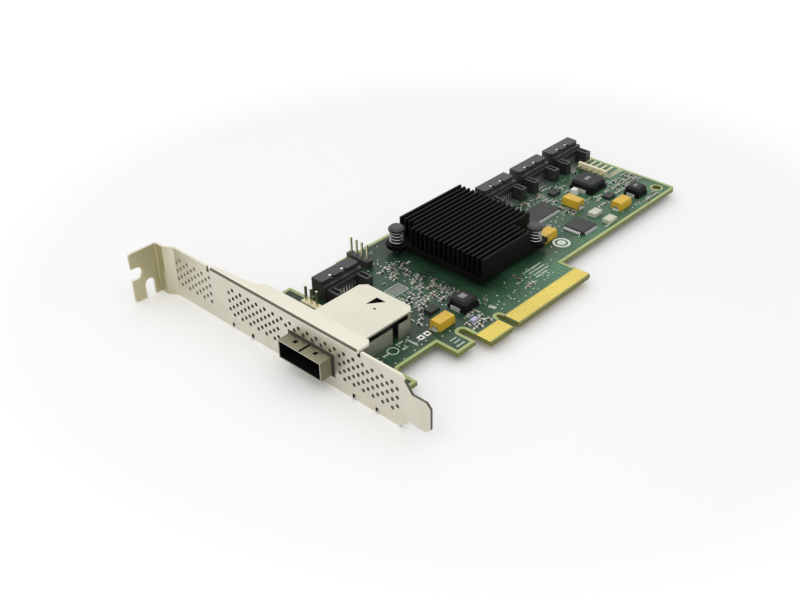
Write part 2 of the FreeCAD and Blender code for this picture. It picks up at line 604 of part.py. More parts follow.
def screws():
    made = []
    for start in ("tab_one", "tab_two"):
        body = new_body("screw")
        middle = ("tab_screw_in", f"{start} + tab_width / 2")
        shank = octagon(body, "XY_Plane", middle, "screw_round * cos(22.5)", "board_thick - screw_length")
        pad(body, shank, "screw_length")
        pad(body, circles(body, "XY_Plane", [middle], "screw_head_round", "board_thick"), "screw_head_high")
        level = "board_thick + screw_head_high - screw_drive"
        for wide, tall in (("3.2", "0.7"), ("0.7", "3.2")):
            low = (f"{middle[0]} - {wide} / 2", f"{middle[1]} - {tall} / 2")
            high = (f"{middle[0]} + {wide} / 2", f"{middle[1]} + {tall} / 2")
            pocket(body, rectangle(body, "XY_Plane", low, high, level), "screw_drive")
        made.append(body)
    seat(group("screw_pair", made), "bracket_screws")


def data_socket(index, left):
    body = new_body(f"socket_{index}")
    right = f"({left} + socket_wide)"
    padBack = f"({socketBack} + ledge_back)"
    pad(body, rectangle(body, "XY_Plane", (left, padBack), (right, socketFront), "board_thick"),
        "socket_top - board_thick")
    pad(body, rectangle(body, "XY_Plane", (left, socketBack), (right, padBack), "board_thick"),
        "socket_top - ledge_drop - board_thick")
    mouthLow = (f"{left} + socket_wall", "mouth_low")
    mouthHigh = (f"{right} - socket_wall", "socket_top - socket_wall")
    pocket(body, rectangle(body, "XZ_Plane", mouthLow, mouthHigh, f"{socketFront} - mouth_deep"), "mouth_deep")
    tongueLeft = f"({left} + (socket_wide - tongue_wide) / 2)"
    tongue = [
        (tongueLeft, "tongue_low"),
        (f"{tongueLeft} + tongue_wide", "tongue_low"),
        (f"{tongueLeft} + tongue_wide", "tongue_low + tongue_thick + tongue_key"),
        (f"{tongueLeft} + tongue_wide - tongue_key", "tongue_low + tongue_thick + tongue_key"),
        (f"{tongueLeft} + tongue_wide - tongue_key", "tongue_low + tongue_thick"),
        (tongueLeft, "tongue_low + tongue_thick"),
    ]
    pad(body, outline(body, "XZ_Plane", tongue, f"{socketFront} - mouth_deep"), "tongue_deep")
    latch_grooves(body, left, right, padBack)
    rear_arms(body, left, right)
    seat(body, f"data_socket_{index}")

    row = new_body(f"socket_contact_{index}")
    back = f"({socketBack} - step_back)"
    first = f"({left} + socket_wide / 2 - 3 * contact_pitch - contact_wide / 2)"
    strip = [
        (back, "board_thick"),
        (back, "tongue_low"),
        (f"{back} - contact_thick", "tongue_low"),
        (f"{back} - contact_thick", "board_thick + contact_thick"),
        (f"{back} - contact_tail", "board_thick + contact_thick"),
        (f"{back} - contact_tail", "board_thick"),
    ]
    tail = pad(row, outline(row, "YZ_Plane", strip, first), "contact_wide")
    row_of(row, tail, "X", "7", "contact_pitch")
    seat(row, f"socket_contacts_{index}")


def latch_grooves(body, left, right, padBack):
    # Two grooves part the roof into three pads with round corners; each ends in a latch window.
    low = "(socket_top - groove_deep)"
    windowBack = f"({socketFront} - window_in)"
    corners = [left, right]
    for place in ("window_one", "window_two"):
        sides = [f"{left} + {place} {sign} groove_wide / 2" for sign in "-+"]
        corners += sides
        groove = rectangle(body, "XY_Plane", (sides[0], padBack), (sides[1], windowBack), low)
        pocket(body, groove, "groove_deep")
        window = rectangle(body, "XY_Plane", (f"{left} + {place} - window_wide / 2", windowBack),
                           (f"{left} + {place} + window_wide / 2", f"{windowBack} + window_deep"),
                           "socket_top - socket_wall")
        pocket(body, window, "socket_wall")
    height = number("socket_top - groove_deep / 2")
    places = [FreeCAD.Vector(number(x), number(padBack), height) for x in corners]
    soften(body, "Fillet", edges_near(body, places, FreeCAD.Vector(0, 0, 1)), "pad_round", "Radius")


def rear_arms(body, left, right):
    # A low step behind the ledge, and at each end an arm of two thin bars beside the contact tails.
    low = (f"{left} + arm_side", f"{socketBack} - step_back")
    high = (f"{right} - arm_side", socketBack)
    pad(body, rectangle(body, "XY_Plane", low, high, "board_thick"), "arm_high - board_thick")
    for start in (f"({left} + arm_side)", f"({right} - arm_side - arm_wide)"):
        low = (start, f"{socketBack} - arm_long")
        high = (f"{start} + arm_wide", f"{socketBack} - step_back")
        pad(body, rectangle(body, "XY_Plane", low, high, "board_thick"), "arm_high - board_thick")
        low = (f"{start} + (arm_wide - arm_slot) / 2", f"{socketBack} - arm_long + arm_bar")
        high = (f"{start} + (arm_wide + arm_slot) / 2", f"{socketBack} - step_back")
        slot = rectangle(body, "XY_Plane", low, high, "arm_slot_floor")
        pocket(body, slot, "arm_high - arm_slot_floor")


def cooler():
    body = new_body("heat_sink")
    left = "(cooler_left - ledge)"
    right = "(cooler_left + cooler_length)"
    low = "cooler_low"
    high = "(cooler_low + cooler_wide)"
    base = [
        (left, low),
        (right, low),
        (right, high),
        ("pin_one_x - lug_reach / 1.5", high),
        ("pin_one_x - lug_reach / 1.5", f"{high} - corner_one_wide"),
        (left, f"{high} - corner_one_wide"),
    ]
    pad(body, outline(body, "XY_Plane", base, "cooler_under"), "cooler_plate")
    lugs = circles(body, "XY_Plane", [("pin_one_x", "pin_one_y")], "lug_reach", "cooler_under")
    pad(body, lugs, "cooler_plate")
    lugs = circles(body, "XY_Plane", [("pin_two_x", "pin_two_y")], "lug_reach", "cooler_under")
    pad(body, lugs, "cooler_plate")
    fin = rectangle(body, "XY_Plane", ("cooler_left", low), (right, f"{low} + fin_thick"), coolerFins)
    fins = pad(body, fin, f"cooler_top - {coolerFins}")
    row_of(body, fins, "Y", "fin_count", finPitch)
    for corner in (
        ((f"{left} - 1", f"{high} - corner_one_wide"), ("cooler_left + corner_one", f"{high} + 1")),
        ((f"{right} - corner_two", f"{low} - 1"), (f"{right} + 1", f"{low} + corner_two_wide")),
    ):
        pocket(body, rectangle(body, "XY_Plane", *corner, coolerFins), f"cooler_top - {coolerFins} + 1")
    holes = [("pin_one_x", "pin_one_y"), ("pin_two_x", "pin_two_y")]
    pocket(body, circles(body, "XY_Plane", holes, "pin_shank_round + pin_play", "cooler_under"), "cooler_plate")
    seat(body, "heat_sink")

    middle = ("(cooler_left + cooler_length / 2)", "(cooler_low + cooler_wide / 2)")
    chip = moulded("controller_chip", middle, ("chip_wide", "chip_wide", "chip_thick"))
    low = tuple(f"{place} - chip_cap_wide / 2" for place in middle)
    high = tuple(f"{place} + chip_cap_wide / 2" for place in middle)
    pad(chip, rectangle(chip, "XY_Plane", low, high, "board_thick + chip_thick"), "chip_cap_thick")
    seat(chip, "controller_chip")
    padLow = "(board_thick + chip_thick + chip_cap_thick)"
    thermal = new_body("thermal_pad")
    pad(thermal, rectangle(thermal, "XY_Plane", low, high, padLow), f"cooler_under - {padLow}")
    seat(thermal, "thermal_pad")

    for name, x, y in (("upper", "pin_one_x", "pin_one_y"), ("lower", "pin_two_x", "pin_two_y")):
        pin = new_body(f"pin_{name}")
        shank = octagon(pin, "XY_Plane", (x, y), "pin_shank_round * cos(22.5)", "-pin_below")
        pad(pin, shank, "pin_top + pin_below - pin_head_dome")
        head = circles(pin, "XY_Plane", [(x, y)], "pin_head_round", "pin_top - pin_head_thick")
        pad(pin, head, "pin_head_thick")
        doc.recompute()
        rim = [f"Edge{index}" for index, edge in enumerate(pin.Tip.Shape.Edges, start=1)
               if abs(edge.BoundBox.ZMin - number("pin_top")) < 0.01]
        soften(pin, "Chamfer", rim, "pin_head_dome", "Size")
        barb = octagon(pin, "XY_Plane", (x, y), "pin_barb", "-pin_below")
        pad(pin, barb, "pin_below - 0.1")
        seat(pin, f"push_pin_{name}")
        spring(f"pin_spring_{name}", x, y)


def spring(label, x, y):
    # Coil between the cooler's plate and the pin's head, as straight runs of six-sided wire.
    wire = number("spring_wire")
    radius = number("spring_round")
    low = number(coolerFins) + wire
    high = number("pin_top - pin_head_thick") - wire
    turns = number("spring_turns")
    runs = round(turns * 8)
    points = []
    for step in range(runs + 1):
        angle = 2 * math.pi * turns * step / runs
        height = low + (high - low) * step / runs
        points.append(FreeCAD.Vector(radius * math.cos(angle), radius * math.sin(angle), height))
    along = (points[1] - points[0]).normalize()
    across = FreeCAD.Vector(1, 0, 0)
    up = along.cross(across).normalize()
    ring = []
    for side in range(7):
        angle = math.pi * side / 3
        ring.append(points[0] + across * (wire * math.cos(angle)) + up * (wire * math.sin(angle)))
    coil = Part.Wire(Part.makePolygon(points)).makePipeShell([Part.Wire(Part.makePolygon(ring))], True, False, 1)
    made = doc.addObject("Part::Feature", label)
    made.Shape = coil
    seat(made, label)
    for axis, place in (("x", x), ("y", y)):
        made.setExpression(f"Placement.Base.{axis}", tied(f"{shifts[axis]} + {place}"))


def gull_row(name, across, along, first, edge, outward, lead, count, pitch, middle):
    # One row of bent leads: across is the axis they point along, along the axis of the row.
    body = new_body(name)
    foot = "board_thick"
    reach = [f"{edge} + ({outward}) * ({step})" for step in ("0", "lead_out - lead_foot", "lead_out")]
    profile = [
        (reach[0], middle),
        (reach[1], foot),
        (reach[2], foot),
        (reach[2], f"{foot} + lead_thick"),
        (f"{reach[1]} + ({outward}) * 0.1", f"{foot} + lead_thick"),
        (reach[0], f"{middle} + lead_thick"),
    ]
    role = "XZ_Plane" if across == "X" else "YZ_Plane"
    feature = pad(body, outline(body, role, profile, first), lead)
    row_of(body, feature, along, count, pitch)
    return body


def chips():
    memory = moulded("memory_body", ("memory_x", "memory_y"), ("memory_long", "memory_wide", "memory_high"),
                     "board_thick + chip_lift")
    seat(memory, "memory_chip")
    first = "memory_x - (memory_leads - 1) * memory_pitch / 2 - memory_lead_wide / 2"
    middle = "board_thick + memory_high / 2"
    rows = []
    half = "(memory_wide / 2 - (memory_high / 2 - chip_lift) * tan(draft))"
    for outward in ("-1", "1"):
        rows.append(gull_row("memory_row", "Y", "X", first, f"memory_y + ({outward}) * {half}", outward,
                             "memory_lead_wide", "memory_leads", "memory_pitch", middle))
    seat(group("memory_rows", rows), "memory_leads")

    logic = moulded("logic_body", ("logic_x", "logic_y"), ("logic_wide", "logic_wide", "logic_high"),
                    "board_thick + chip_lift")
    seat(logic, "logic_chip")
    middle = "board_thick + logic_high / 2"
    span = "(logic_leads - 1) * logic_pitch / 2 + logic_lead_wide / 2"
    half = "(logic_wide / 2 - (logic_high / 2 - chip_lift) * tan(draft))"
    rows = []
    for outward in ("-1", "1"):
        for across, along, here, there in (("Y", "X", "logic_x", "logic_y"), ("X", "Y", "logic_y", "logic_x")):
            rows.append(gull_row("logic_row", across, along, f"{here} - {span}", f"{there} + ({outward}) * {half}",
                                 outward, "logic_lead_wide", "logic_leads", "logic_pitch", middle))
    seat(group("logic_rows", rows), "logic_leads")


def capacitors():
    terminals = []
    for index in range(1, 5):
        x, y = f"capacitor_{index}_x", f"capacitor_{index}_y"
        upright = index == 3
        sides = ("capacitor_wide", "capacitor_long") if upright else ("capacitor_long", "capacitor_wide")
        body = moulded(f"capacitor_{index}_body", (x, y), (*sides, "capacitor_high"))
        seat(body, f"capacitor_{index}")
        for end in ("-1", "1"):
            near = f"({end}) * capacitor_long / 2 + (({end}) - 1) / 2 * terminal_thick"
            if upright:
                low = (f"{x} - terminal_wide / 2", f"{y} + {near}", "board_thick")
                size = ("terminal_wide", "terminal_thick", "terminal_high")
            else:
                low = (f"{x} + {near}", f"{y} - terminal_wide / 2", "board_thick")
                size = ("terminal_thick", "terminal_wide", "terminal_high")
            terminals.append(block("terminal", low, size))
    seat(group("terminal_set", terminals), "capacitor_terminals")


def inductors():
    # A square foot, and on it a core with cut corners and a bevelled top.
    for index in range(1, 4):
        middle = (f"inductor_{index}_x", f"inductor_{index}_y")
        half = f"inductor_{index}_wide / 2"
        body = new_body(f"inductor_{index}_body")
        foot = octagon(body, "XY_Plane", middle, half, "board_thick", "inductor_cut / 2")
        pad(body, foot, "inductor_base")
        level = "board_thick + inductor_base"
        core = octagon(body, "XY_Plane", middle, f"{half} * 0.94", level, "inductor_cut")
        pad(body, core, "inductor_high - inductor_base")
        doc.recompute()
        top = number("board_thick + inductor_high")
        rim = [f"Edge{place}" for place, edge in enumerate(body.Tip.Shape.Edges, start=1)
               if abs(edge.BoundBox.ZMin - top) < 0.01]
        soften(body, "Chamfer", rim, "inductor_top_bevel", "Size")
        seat(body, f"inductor_{index}")


def headers():
    for label, x, y, count, top in (
        ("pin_header", "header_x", "header_y", "header_pins", "header_top"),
        ("jumper_header", "jumper_x", "jumper_y", "jumper_pins", "jumper_top"),
    ):
        base = new_body(f"{label}_body")
        low = (f"{x} - header_base / 2", f"{y} - pin_pitch / 2")
        high = (f"{x} + header_base / 2", f"{y} + ({count} - 0.5) * pin_pitch")
        pad(base, rectangle(base, "XY_Plane", low, high, "board_thick"), "header_base")
        corner = (f"{x} - pin_wide / 2", f"{y} - pin_wide / 2")
        far = (f"{x} + pin_wide / 2", f"{y} + pin_wide / 2")
        hole = pocket(base, rectangle(base, "XY_Plane", corner, far, "board_thick"), "header_base")
        row_of(base, hole, "Y", count, "pin_pitch")
        seat(base, f"{label}_base")
        pins = new_body(f"{label}_row")
        pin = pad(pins, rectangle(pins, "XY_Plane", corner, far, "-pin_tail"), f"{top} + pin_tail")
        row_of(pins, pin, "Y", count, "pin_pitch")
        seat(pins, f"{label}_pins")

    # The side header lies down: its bar is held above the board by pins bent down behind it.
    bar = new_body("side_header_body")
    barLow = "(board_thick + side_header_up)"
    front = "(side_header_x + side_header_thick / 2)"
    back = "(side_header_x - side_header_thick / 2)"
    low = (back, "side_header_y - pin_pitch / 2")
    high = (front, "side_header_y + (side_header_pins - 0.5) * pin_pitch")
    pad(bar, rectangle(bar, "XY_Plane", low, high, barLow), "side_header_high")
    middle = f"({barLow} + side_header_high / 2)"
    first = "(side_header_y - pin_wide / 2)"
    hole = rectangle(bar, "YZ_Plane", (first, f"{middle} - pin_wide / 2"),
                     (f"{first} + pin_wide", f"{middle} + pin_wide / 2"), back)
    row_of(bar, pocket(bar, hole, "side_header_thick"), "Y", "side_header_pins", "pin_pitch")
    seat(bar, "side_header_base")
    pins = new_body("side_header_row")
    bent = [
        (f"{back} - side_header_back", "board_thick"),
        (f"{back} - side_header_back + pin_wide", "board_thick"),
        (f"{back} - side_header_back + pin_wide", f"{middle} - pin_wide / 2"),
        (f"{front} + side_header_out", f"{middle} - pin_wide / 2"),
        (f"{front} + side_header_out", f"{middle} + pin_wide / 2"),
        (f"{back} - side_header_back", f"{middle} + pin_wide / 2"),
    ]
    pin = pad(pins, outline(pins, "XZ_Plane", bent, first), "pin_wide")
    row_of(pins, pin, "Y", "side_header_pins", "pin_pitch")
    seat(pins, "side_header_pins")


def small_parts():
    for label, size in (("ceramic", ("ceramic_long", "ceramic_wide", "ceramic_high")),
                        ("power", ("power_long", "power_wide", "power_high"))):
        for index in range(1, 3 if label == "ceramic" else 4):
            name = f"{label}_{index}"
            body = moulded(f"{name}_body", (f"{name}_x", f"{name}_y"), size)
            seat(body, f"ceramic_part_{index}" if label == "ceramic" else f"power_chip_{index}")
    clip = moulded("clip_body", ("clip_x", "clip_y"), ("clip_wide", "clip_wide", "clip_high"))
    seat(clip, "white_clip")


board()
bracket()
port()
screws()
data_socket(1, "socket_one")
for index in range(2, 5):
    data_socket(index, f"(socket_two + {index - 2} * socket_pitch)")
cooler()
chips()
capacitors()
inductors()
headers()
small_parts()
doc.recompute()

for item in doc.Objects:
    if {"Invalid", "Error"} & set(item.State):
        raise RuntimeError(f"{item.Label} failed: {item.State}")
for piece in parts:
    if piece.Shape.isNull() or not piece.Shape.isValid():
        raise RuntimeError(f"{piece.Label} has no sound shape")
os.makedirs("parts", exist_ok=True)
for piece in parts:
    piece.Shape.exportStep(f"parts/{piece.Label}.step")
print(len(parts), "sub-parts")
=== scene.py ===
import bpy
import bmesh
import json
import math
import random
from mathutils import Matrix, Vector


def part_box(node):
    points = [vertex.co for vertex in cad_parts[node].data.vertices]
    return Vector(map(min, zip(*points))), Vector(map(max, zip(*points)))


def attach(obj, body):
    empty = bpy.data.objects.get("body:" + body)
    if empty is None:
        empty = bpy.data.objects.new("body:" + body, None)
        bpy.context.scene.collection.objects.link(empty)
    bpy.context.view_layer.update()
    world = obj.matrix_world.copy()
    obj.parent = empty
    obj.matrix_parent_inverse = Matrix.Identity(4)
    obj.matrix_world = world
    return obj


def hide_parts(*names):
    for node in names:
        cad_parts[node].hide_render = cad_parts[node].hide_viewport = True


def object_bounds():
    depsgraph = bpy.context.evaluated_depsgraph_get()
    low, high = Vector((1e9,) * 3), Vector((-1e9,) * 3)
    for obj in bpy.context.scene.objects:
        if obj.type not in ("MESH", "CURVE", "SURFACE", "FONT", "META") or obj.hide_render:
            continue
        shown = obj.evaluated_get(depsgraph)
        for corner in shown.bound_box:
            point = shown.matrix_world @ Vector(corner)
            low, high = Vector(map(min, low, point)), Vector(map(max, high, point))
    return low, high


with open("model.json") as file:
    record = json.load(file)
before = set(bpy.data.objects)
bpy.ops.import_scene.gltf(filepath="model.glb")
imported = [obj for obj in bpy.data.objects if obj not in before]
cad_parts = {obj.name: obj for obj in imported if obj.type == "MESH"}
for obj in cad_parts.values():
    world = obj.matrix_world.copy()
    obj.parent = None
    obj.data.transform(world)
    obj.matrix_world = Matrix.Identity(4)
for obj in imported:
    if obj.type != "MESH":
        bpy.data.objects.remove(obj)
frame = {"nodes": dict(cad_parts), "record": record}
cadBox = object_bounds()
nodes = frame["nodes"]
print("frame loaded:", len(nodes), "nodes")

mm = 0.001
boardLow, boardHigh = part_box("circuit_board")
boardGap = 1.0      # mm from the bracket's outer face to the board


def at(x, y, z=0.0):
    # a place on the card: mm from the bracket's face, from the edge contacts and from the solder side
    return Vector((boardLow.x + (x - boardGap) * mm, boardLow.y + y * mm, boardLow.z + z * mm))


def cardPlace(point):
    # the same place measured back in card mm
    return Vector((boardGap + (point.x - boardLow.x) / mm, (point.y - boardLow.y) / mm,
                   (point.z - boardLow.z) / mm))


def cardBox(node):
    low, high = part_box(node)
    return cardPlace(low), cardPlace(high)


boardTop = cardPlace(boardHigh).z


def addObject(name, data):
    thing = bpy.data.objects.new(name, data)
    bpy.context.scene.collection.objects.link(thing)
    return thing


# Materials: every one is made of nodes on the object's own coordinates


def startMaterial(name, colour, roughness, metallic=0.0, shine=0.5):
    material = bpy.data.materials.new(name)
    material.use_nodes = True
    tree = material.node_tree
    shader = tree.nodes["Principled BSDF"]
    shader.inputs["Base Color"].default_value = (*colour, 1.0)
    shader.inputs["Roughness"].default_value = roughness
    shader.inputs["Metallic"].default_value = metallic
    shader.inputs["Specular IOR Level"].default_value = shine
    coords = tree.nodes.new("ShaderNodeTexCoord")
    return material, tree, shader, coords


def addNoise(tree, coords, scale, detail=3.0, stretch=(1, 1, 1)):
    mapping = tree.nodes.new("ShaderNodeMapping")
    mapping.inputs["Scale"].default_value = stretch
    tree.links.new(coords.outputs["Object"], mapping.inputs["Vector"])
    noise = tree.nodes.new("ShaderNodeTexNoise")
    noise.inputs["Scale"].default_value = scale
    noise.inputs["Detail"].default_value = detail
    tree.links.new(mapping.outputs["Vector"], noise.inputs["Vector"])
    return noise.outputs["Fac"]


def addRamp(tree, fac, stops):
    ramp = tree.nodes.new("ShaderNodeValToRGB")
    elements = ramp.color_ramp.elements
    while len(elements) < len(stops):
        elements.new(0.5)
    for element, (place, colour) in zip(elements, stops):
        element.position = place
        element.color = (*colour, 1.0)
    tree.links.new(fac, ramp.inputs["Fac"])
    return ramp.outputs["Color"]


def addRange(tree, fac, low, high, start=0.0, end=1.0):
    spread = tree.nodes.new("ShaderNodeMapRange")
    spread.inputs["From Min"].default_value = start
    spread.inputs["From Max"].default_value = end
    spread.inputs["To Min"].default_value = low
    spread.inputs["To Max"].default_value = high
    tree.links.new(fac, spread.inputs["Value"])
    return spread.outputs["Result"]


def addMix(tree, factor, first, second):
    mix = tree.nodes.new("ShaderNodeMix")
    mix.data_type = "RGBA"
    tree.links.new(factor, mix.inputs["Factor"])
    for name, value in (("A", first), ("B", second)):
        socket = [s for s in mix.inputs if s.name == name and s.type == "RGBA"][0]
        if isinstance(value, tuple):
            socket.default_value = (*value, 1.0)
        else:
            tree.links.new(value, socket)
    return [s for s in mix.outputs if s.type == "RGBA"][0]


def addBump(tree, shader, height, strength, distance):
    bump = tree.nodes.new("ShaderNodeBump")
    bump.inputs["Strength"].default_value = strength
    bump.inputs["Distance"].default_value = distance
    tree.links.new(height, bump.inputs["Height"])
    tree.links.new(bump.outputs["Normal"], shader.inputs["Normal"])


def shade(colour, factor):
    return tuple(channel * factor for channel in colour)


def alongAxis(tree, coords, output, axis, start, end):
    # runs from 0 to 1 between two values of a coordinate or of the surface's direction
    parts = tree.nodes.new("ShaderNodeSeparateXYZ")
    tree.links.new(coords.outputs[output], parts.inputs["Vector"])
    return addRange(tree, parts.outputs[axis], 0.0, 1.0, start, end)


def alongCard(tree, coords, axis, start, end):
    # runs from 0 to 1 between two places along an axis of the card, in card mm
    first, last = [at(place, place, place)["XYZ".index(axis)] for place in (start, end)]
    return alongAxis(tree, coords, "Object", axis, first, last)


def combined(tree, operation, values):
    # all the values multiplied, or the largest of them
    last = values[0]
    for value in values[1:]:
        both = tree.nodes.new("ShaderNodeMath")
        both.operation = operation
        tree.links.new(last, both.inputs[0])
        tree.links.new(value, both.inputs[1])
        last = both.outputs[0]
    return last


def moulded(name, colour, roughness=0.5, grain=900.0, wear=0.25, shine=0.5):
    # moulded plastic or resin: fine grain, slight change of colour
    material, tree, shader, coords = startMaterial(name, colour, roughness, shine=shine)
    cloud = addNoise(tree, coords, grain * 0.25)
    tree.links.new(addRamp(tree, cloud, [(0.3, shade(colour, 1 - wear)), (0.7, shade(colour, 1 + wear))]),
                   shader.inputs["Base Color"])
    fine = addNoise(tree, coords, grain * 6)
    gloss = addRange(tree, fine, low=roughness - 0.08, high=roughness + 0.1)
    tree.links.new(gloss, shader.inputs["Roughness"])
    addBump(tree, shader, fine, strength=0.25, distance=0.00002)
    return material


def startPlate(name, colour, roughness, brush=(1, 1, 1), metallic=1.0, tint=0.08):
    # plated metal with faint brushing and uneven gloss; its colour comes back unlinked, for more work
    material, tree, shader, coords = startMaterial(name, colour, roughness, metallic)
    grain = addNoise(tree, coords, 2600, detail=4.0, stretch=brush)
    cloud = addNoise(tree, coords, 45)
    base = addRamp(tree, cloud, [(0.35, shade(colour, 1 - tint)), (0.65, colour)])
    gloss = addRange(tree, grain, low=roughness - 0.06, high=roughness + 0.08)
    tree.links.new(gloss, shader.inputs["Roughness"])
    addBump(tree, shader, grain, strength=0.1, distance=0.00002)
    return material, tree, shader, coords, base


def plated(name, colour, roughness, **more):
    material, tree, shader, coords, base = startPlate(name, colour, roughness, **more)
    tree.links.new(base, shader.inputs["Base Color"])
    return material


print("materials")
sheetBrush = (1, 0.12, 1)      # the brushing runs along the bracket

# The bracket's nickel, with painted shade on its top faces and towards its foot, and on the walls of its
# vents: places in card mm; the vent walls lie inside the sheet, below the fold
bracketLook = {
    # top and foot are painted shade, on faces that look up and towards the foot; foot also tints random
    # duller patches; the wall colours are painted shade
    "flange": (0.73, 0.70, 0.6), "top": (0.56, 0.54, 0.455), "foot": (0.53, 0.5, 0.34),
    "wallShade": (0.085, 0.08, 0.068), "wallShadePale": (0.3, 0.28, 0.22), "paleY": (68, 84),
    "footShadeY": (96.5, 102.0), "sheet": 0.86, "belowFold": (14.6, 14.5), "blend": 0.02,
    "patchScale": 260, "patchShare": 0.22}


def bracketSheet(look):
    # painted shade darkens the top faces and the foot, random patches are duller, and painted shade darkens
    # the walls of the vents and the cut edges, paler towards the foot
    material, tree, shader, coords, base = startPlate("bracketSheet", look["flange"], 0.36, sheetBrush)
    # painted shade towards the foot, then on the faces that look up
    base = addMix(tree, alongCard(tree, coords, "Y", *look["footShadeY"]), base, look["foot"])
    base = addMix(tree, alongAxis(tree, coords, "Normal", "Z", 0.4, 0.9), base, look["top"])
    patches = addRange(tree, addNoise(tree, coords, look["patchScale"], detail=4.0),
                       low=0.0, high=look["patchShare"], start=0.45, end=0.75)
    base = addMix(tree, patches, base, look["foot"])
    # painted shade on the walls of the vents and on the sheet's cut edges, paler towards the foot
    wall = combined(tree, "MULTIPLY", [
        alongCard(tree, coords, "X", 0.0, look["blend"]),
        alongCard(tree, coords, "X", look["sheet"], look["sheet"] - look["blend"]),
        alongCard(tree, coords, "Z", *look["belowFold"]),
        alongAxis(tree, coords, "Normal", "X", 0.6, 0.4),
        alongAxis(tree, coords, "Normal", "X", -0.6, -0.4)])
    paler = alongCard(tree, coords, "Y", *look["paleY"])
    wallShadeColour = addMix(tree, paler, look["wallShade"], look["wallShadePale"])
    tree.links.new(addMix(tree, wall, base, wallShadeColour), shader.inputs["Base Color"])
    return material


# nose is a painted shade on the cage's nose in front of the bracket
cageLook = {"sheet": (0.55, 0.53, 0.445), "nose": (0.25, 0.24, 0.175), "noseShadeX": (1.2, 0.4)}


def cageSheet(look):
    # the cage's nickel, with painted shade on the nose in front of the bracket
    material, tree, shader, coords, base = startPlate("cageSheet", look["sheet"], 0.4, sheetBrush)
    front = alongCard(tree, coords, "X", *look["noseShadeX"])
    tree.links.new(addMix(tree, front, base, look["nose"]), shader.inputs["Base Color"])
    return material


# The board's mask: near, far and dark are shares of its colour; the dark band beyond darkAndShadeY is
# partly painted shade behind the heat sink and sockets, partly a darker mask; the ranges of X and Y are in
# card mm
maskLook = {
    "mask": (0.02, 0.053, 0.028), "edge": (0.20, 0.21, 0.055), "near": (0.6, 1.5), "far": (2.0, 4.2),
    "dark": (0.3, 0.8), "farX": (112, 156), "darkAndShadeY": (44, 58), "stripX": (52, 64), "stripY": (20, 12),
    "dots": 2.4, "lines": 1.9, "cloudScale": 70, "dotScale": 420, "lineScale": 110, "glassScale": 900}


def solderMask(look):
    # glossy green mask with a web of copper below it, and bare laminate on the cut edges
    mask = look["mask"]
    material, tree, shader, coords = startMaterial("solderMask", mask, 0.3, shine=0.2)
    cloud = addNoise(tree, coords, look["cloudScale"], detail=2.0)
    near, far, dark = [addRamp(tree, cloud, [(0.35, shade(mask, low)), (0.68, shade(mask, high))])
                       for low, high in (look["near"], look["far"], look["dark"])]
    base = addMix(tree, alongCard(tree, coords, "X", *look["farX"]), near, far)
    # the dark band towards the back: partly painted shade, partly a darker mask
    base = addMix(tree, alongCard(tree, coords, "Y", *look["darkAndShadeY"]), base, dark)
    strip = combined(tree, "MULTIPLY", [alongCard(tree, coords, "X", *look["stripX"]),
                                        alongCard(tree, coords, "Y", *look["stripY"])])
    base = addMix(tree, strip, base, far)
    cells = tree.nodes.new("ShaderNodeTexVoronoi")
    cells.distance = "MANHATTAN"
    cells.feature = "F1"
    cells.inputs["Scale"].default_value = look["dotScale"]
    tree.links.new(coords.outputs["Object"], cells.inputs["Vector"])
    spots = addRange(tree, cells.outputs["Distance"], low=1.0, high=0.0, start=0.12, end=0.2)
    spotted = addMix(tree, spots, base, shade(mask, look["dots"]))
    web = tree.nodes.new("ShaderNodeTexWave")
    web.inputs["Scale"].default_value = look["lineScale"]
    web.inputs["Distortion"].default_value = 3.0
    web.inputs["Detail Scale"].default_value = 0.6
    tree.links.new(coords.outputs["Object"], web.inputs["Vector"])
    lines = addRange(tree, web.outputs["Fac"], low=0.0, high=0.22, start=0.7, end=0.95)
    traced = addMix(tree, lines, spotted, shade(mask, look["lines"]))
    normal = tree.nodes.new("ShaderNodeSeparateXYZ")
    tree.links.new(coords.outputs["Normal"], normal.inputs["Vector"])
    flat = tree.nodes.new("ShaderNodeMath")
    flat.operation = "ABSOLUTE"
    tree.links.new(normal.outputs["Z"], flat.inputs[0])
    side = addRange(tree, flat.outputs[0], low=1.0, high=0.0, start=0.8, end=0.95)
    grain = addNoise(tree, coords, look["glassScale"], detail=4.0, stretch=(1, 1, 6))
    glass = addRamp(tree, grain, [(0.3, shade(look["edge"], 0.75)), (0.7, look["edge"])])
    tree.links.new(addMix(tree, side, traced, glass), shader.inputs["Base Color"])
    addBump(tree, shader, lines, strength=0.15, distance=0.00003)
    return material


